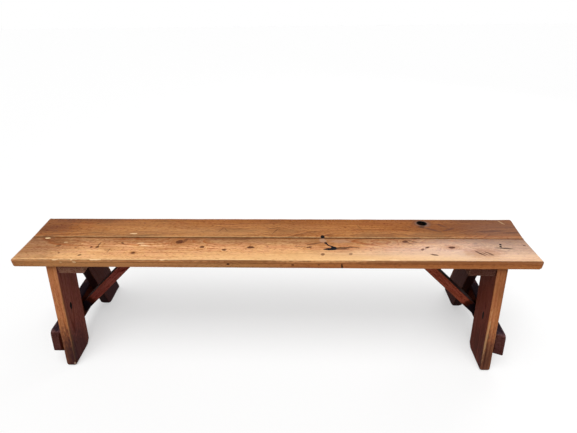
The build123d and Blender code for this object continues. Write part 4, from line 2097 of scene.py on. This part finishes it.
def rays_shown_white(tree: Tree) -> Socket:
    """Pick out the rays that see the studio as plain white.

    Args:
        tree: The node tree.

    Returns:
        A number that is 1 for camera, glossy and transmission rays and 0 for the light on the bench.
    """
    path = add_node(tree, "LightPath")
    seen = path.outputs["Is Camera Ray"]
    for name in ("Is Glossy Ray", "Is Transmission Ray"):
        links = {0: seen, 1: path.outputs[name]}
        seen = add_node(tree, "Math", links, operation="MAXIMUM").outputs[0]
    return seen


@dataclass(frozen=True)
class PaleFloor:
    """A matt painted studio floor. To the eye it is plain white, and it keeps the bench's soft shadow.

    Attributes:
        paint: sRGB hex of the paint, as the bench's undersides are lit by it.
        lift: Share of plain white that the camera sees in place of the lit paint.
    """

    paint: str = "#9c968e"
    lift: float = 0.5

    def material(self) -> Material:
        """Build the floor's material.

        Returns:
            The material.
        """
        made = blank_material("matt white floor paint")
        tree = made.node_tree
        seen = rays_shown_white(tree)
        tones = {COLOUR_A: linear(self.paint), COLOUR_B: grey(1.0)}
        colour = add_node(tree, "Mix", {FACTOR: seen}, tones, data_type="RGBA").outputs[COLOUR_OUT]
        paint = add_node(tree, "BsdfDiffuse", {"Color": colour}, {"Roughness": 0.0}).outputs[0]
        white = add_node(tree, "Emission", values={"Color": grey(1.0), "Strength": 1.0}).outputs[0]
        share = add_node(tree, "Math", {0: seen}, {1: self.lift}, operation="MULTIPLY").outputs[0]
        seen_floor = add_node(tree, "MixShader", {0: share, 1: paint, 2: white})
        add_node(tree, "OutputMaterial", {"Surface": seen_floor.outputs[0]})
        return made


@dataclass(frozen=True)
class Softbox:
    """One soft rectangular lamp: name, place and target in metres, sides in metres, and watts."""

    name: str
    place: tuple[float, float, float]
    target: tuple[float, float, float]
    sides: tuple[float, float]
    watts: float

    def build(self) -> None:
        """Make the lamp."""
        data = bpy.data.lights.new(self.name, "AREA")
        data.shape = "RECTANGLE"
        data.size, data.size_y = self.sides
        data.energy = self.watts
        hang_lamp(data, self.place, self.target)


@dataclass(frozen=True)
class SkyPanel:
    """A large ceiling of light, far enough to fall evenly on the whole floor.

    Attributes:
        name: Its name.
        place: Where it hangs, which with the target sets the way that its light falls.
        target: What it is turned to.
        spread: Degrees of sky that it fills.
        strength: Watts on each square metre.
    """

    name: str
    place: tuple[float, float, float]
    target: tuple[float, float, float]
    spread: float
    strength: float

    def build(self) -> None:
        """Make the lamp."""
        data = bpy.data.lights.new(self.name, "SUN")
        data.angle = math.radians(self.spread)
        data.energy = self.strength
        hang_lamp(data, self.place, self.target)


def hang_lamp(data: Light, place: tuple[float, ...], target: tuple[float, ...]) -> None:
    """Put a lamp in its place and turn it to its target.

    Args:
        data: The lamp's data.
        place: Where it hangs, in metres.
        target: What it is turned to, in metres.
    """
    lamp = linked(data.name, data)
    lamp.location = place
    lamp.rotation_euler = (Vector(target) - Vector(place)).to_track_quat("-Z", "Y").to_euler()


@dataclass(frozen=True)
class Camera:
    """The photograph's camera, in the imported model's frame.

    Attributes:
        place_m: Where the lens stands.
        pitch: Radians below the level.
        yaw: Radians to the right of straight back.
        roll: Radians of turn about the view.
        focal_pixels: Focal length in pixels of the photograph.
        picture_width: The photograph's width in pixels.
        sensor: Width of the sensor in millimetres.
    """

    place_m: tuple[float, float, float] = (0.09165, -1.21469, 1.31901)
    pitch: float = 0.567222
    yaw: float = -0.033107
    roll: float = -0.015239
    focal_pixels: float = 405.45
    picture_width: int = 577
    sensor: float = 36.0

    def build(self) -> None:
        """Make the camera and look through it."""
        data = bpy.data.cameras.new("photo_camera")
        data.sensor_width = self.sensor
        data.lens = self.focal_pixels / self.picture_width * self.sensor
        forward = Vector(
            (
                math.sin(self.yaw) * math.cos(self.pitch),
                math.cos(self.yaw) * math.cos(self.pitch),
                -math.sin(self.pitch),
            )
        )
        level = Vector((math.cos(self.yaw), -math.sin(self.yaw), 0.0))
        over = level.cross(forward)
        right = level * math.cos(self.roll) + over * math.sin(self.roll)
        up = over * math.cos(self.roll) - level * math.sin(self.roll)
        camera = linked("photo_camera", data)
        rotation = Matrix((right, up, -forward)).transposed().to_4x4()
        camera.matrix_world = Matrix.Translation(self.place_m) @ rotation
        bpy.context.scene.camera = camera


@dataclass
class Studio:
    """The floor, the lamps, the world and the camera.

    Attributes:
        floor_half_m: Half a side of the floor.
        ambient: Strength of the even light from all round.
        floor: The floor's finish.
        camera: The camera.
        lamps: The lamps.
    """

    floor_half_m: float = 9.0
    ambient: float = 0.34
    floor: PaleFloor = PaleFloor()
    camera: Camera = Camera()
    lamps: tuple[Softbox | SkyPanel, ...] = (
        SkyPanel("overhead_panel", (-0.4, -0.8, 3.0), (0.0, 0.0, 0.0), 50.0, 2.1),
        Softbox("far_right_window", (2.1, 2.3, 2.2), (0.5, 0.0, 0.4), (1.5, 1.2), 16.0),
    )

    def build(self) -> None:
        """Set the stage."""
        scene = bpy.context.scene
        scene.view_settings.view_transform = "Standard"
        half = self.floor_half_m
        mesh = bpy.data.meshes.new("floor")
        corners = [(-half, -half, 0), (half, -half, 0), (half, half, 0), (-half, half, 0)]
        mesh.from_pydata(corners, [], [(0, 1, 2, 3)])
        mesh.materials.append(self.floor.material())
        floor = linked("floor", mesh)
        for lamp in self.lamps:
            lamp.build()
        self.world(scene)
        self.camera.build()

    def world(self, scene: Scene) -> None:
        """Light the room evenly, and let the camera and reflections see plain white round it.

        Args:
            scene: The scene.
        """
        world = bpy.data.worlds.new("white room")
        scene.world = world
        world.use_nodes = True
        tree = world.node_tree
        tree.nodes.clear()
        seen = rays_shown_white(tree)
        strength = add_node(tree, "MapRange", {"Value": seen}, {"To Min": self.ambient, "To Max": 1.0})
        links = {"Strength": strength.outputs["Result"]}
        light = add_node(tree, "Background", links, {"Color": grey(1.0)})
        add_node(tree, "OutputWorld", {"Surface": light.outputs[0]})


def main() -> None:
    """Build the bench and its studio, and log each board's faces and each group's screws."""
    logging.basicConfig(level=logging.INFO, format="%(name)s: %(message)s")
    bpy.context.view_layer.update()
    Studio().build()
    bores = Fastenings().build()
    stance = Stance()
    Seat().build(bores, KnotHole())
    for side in Side:
        Trestle(side, stance).build(bores)
    for bore in bores.values():
        bpy.data.objects.remove(bore)


if __name__ == "__main__":
    main()
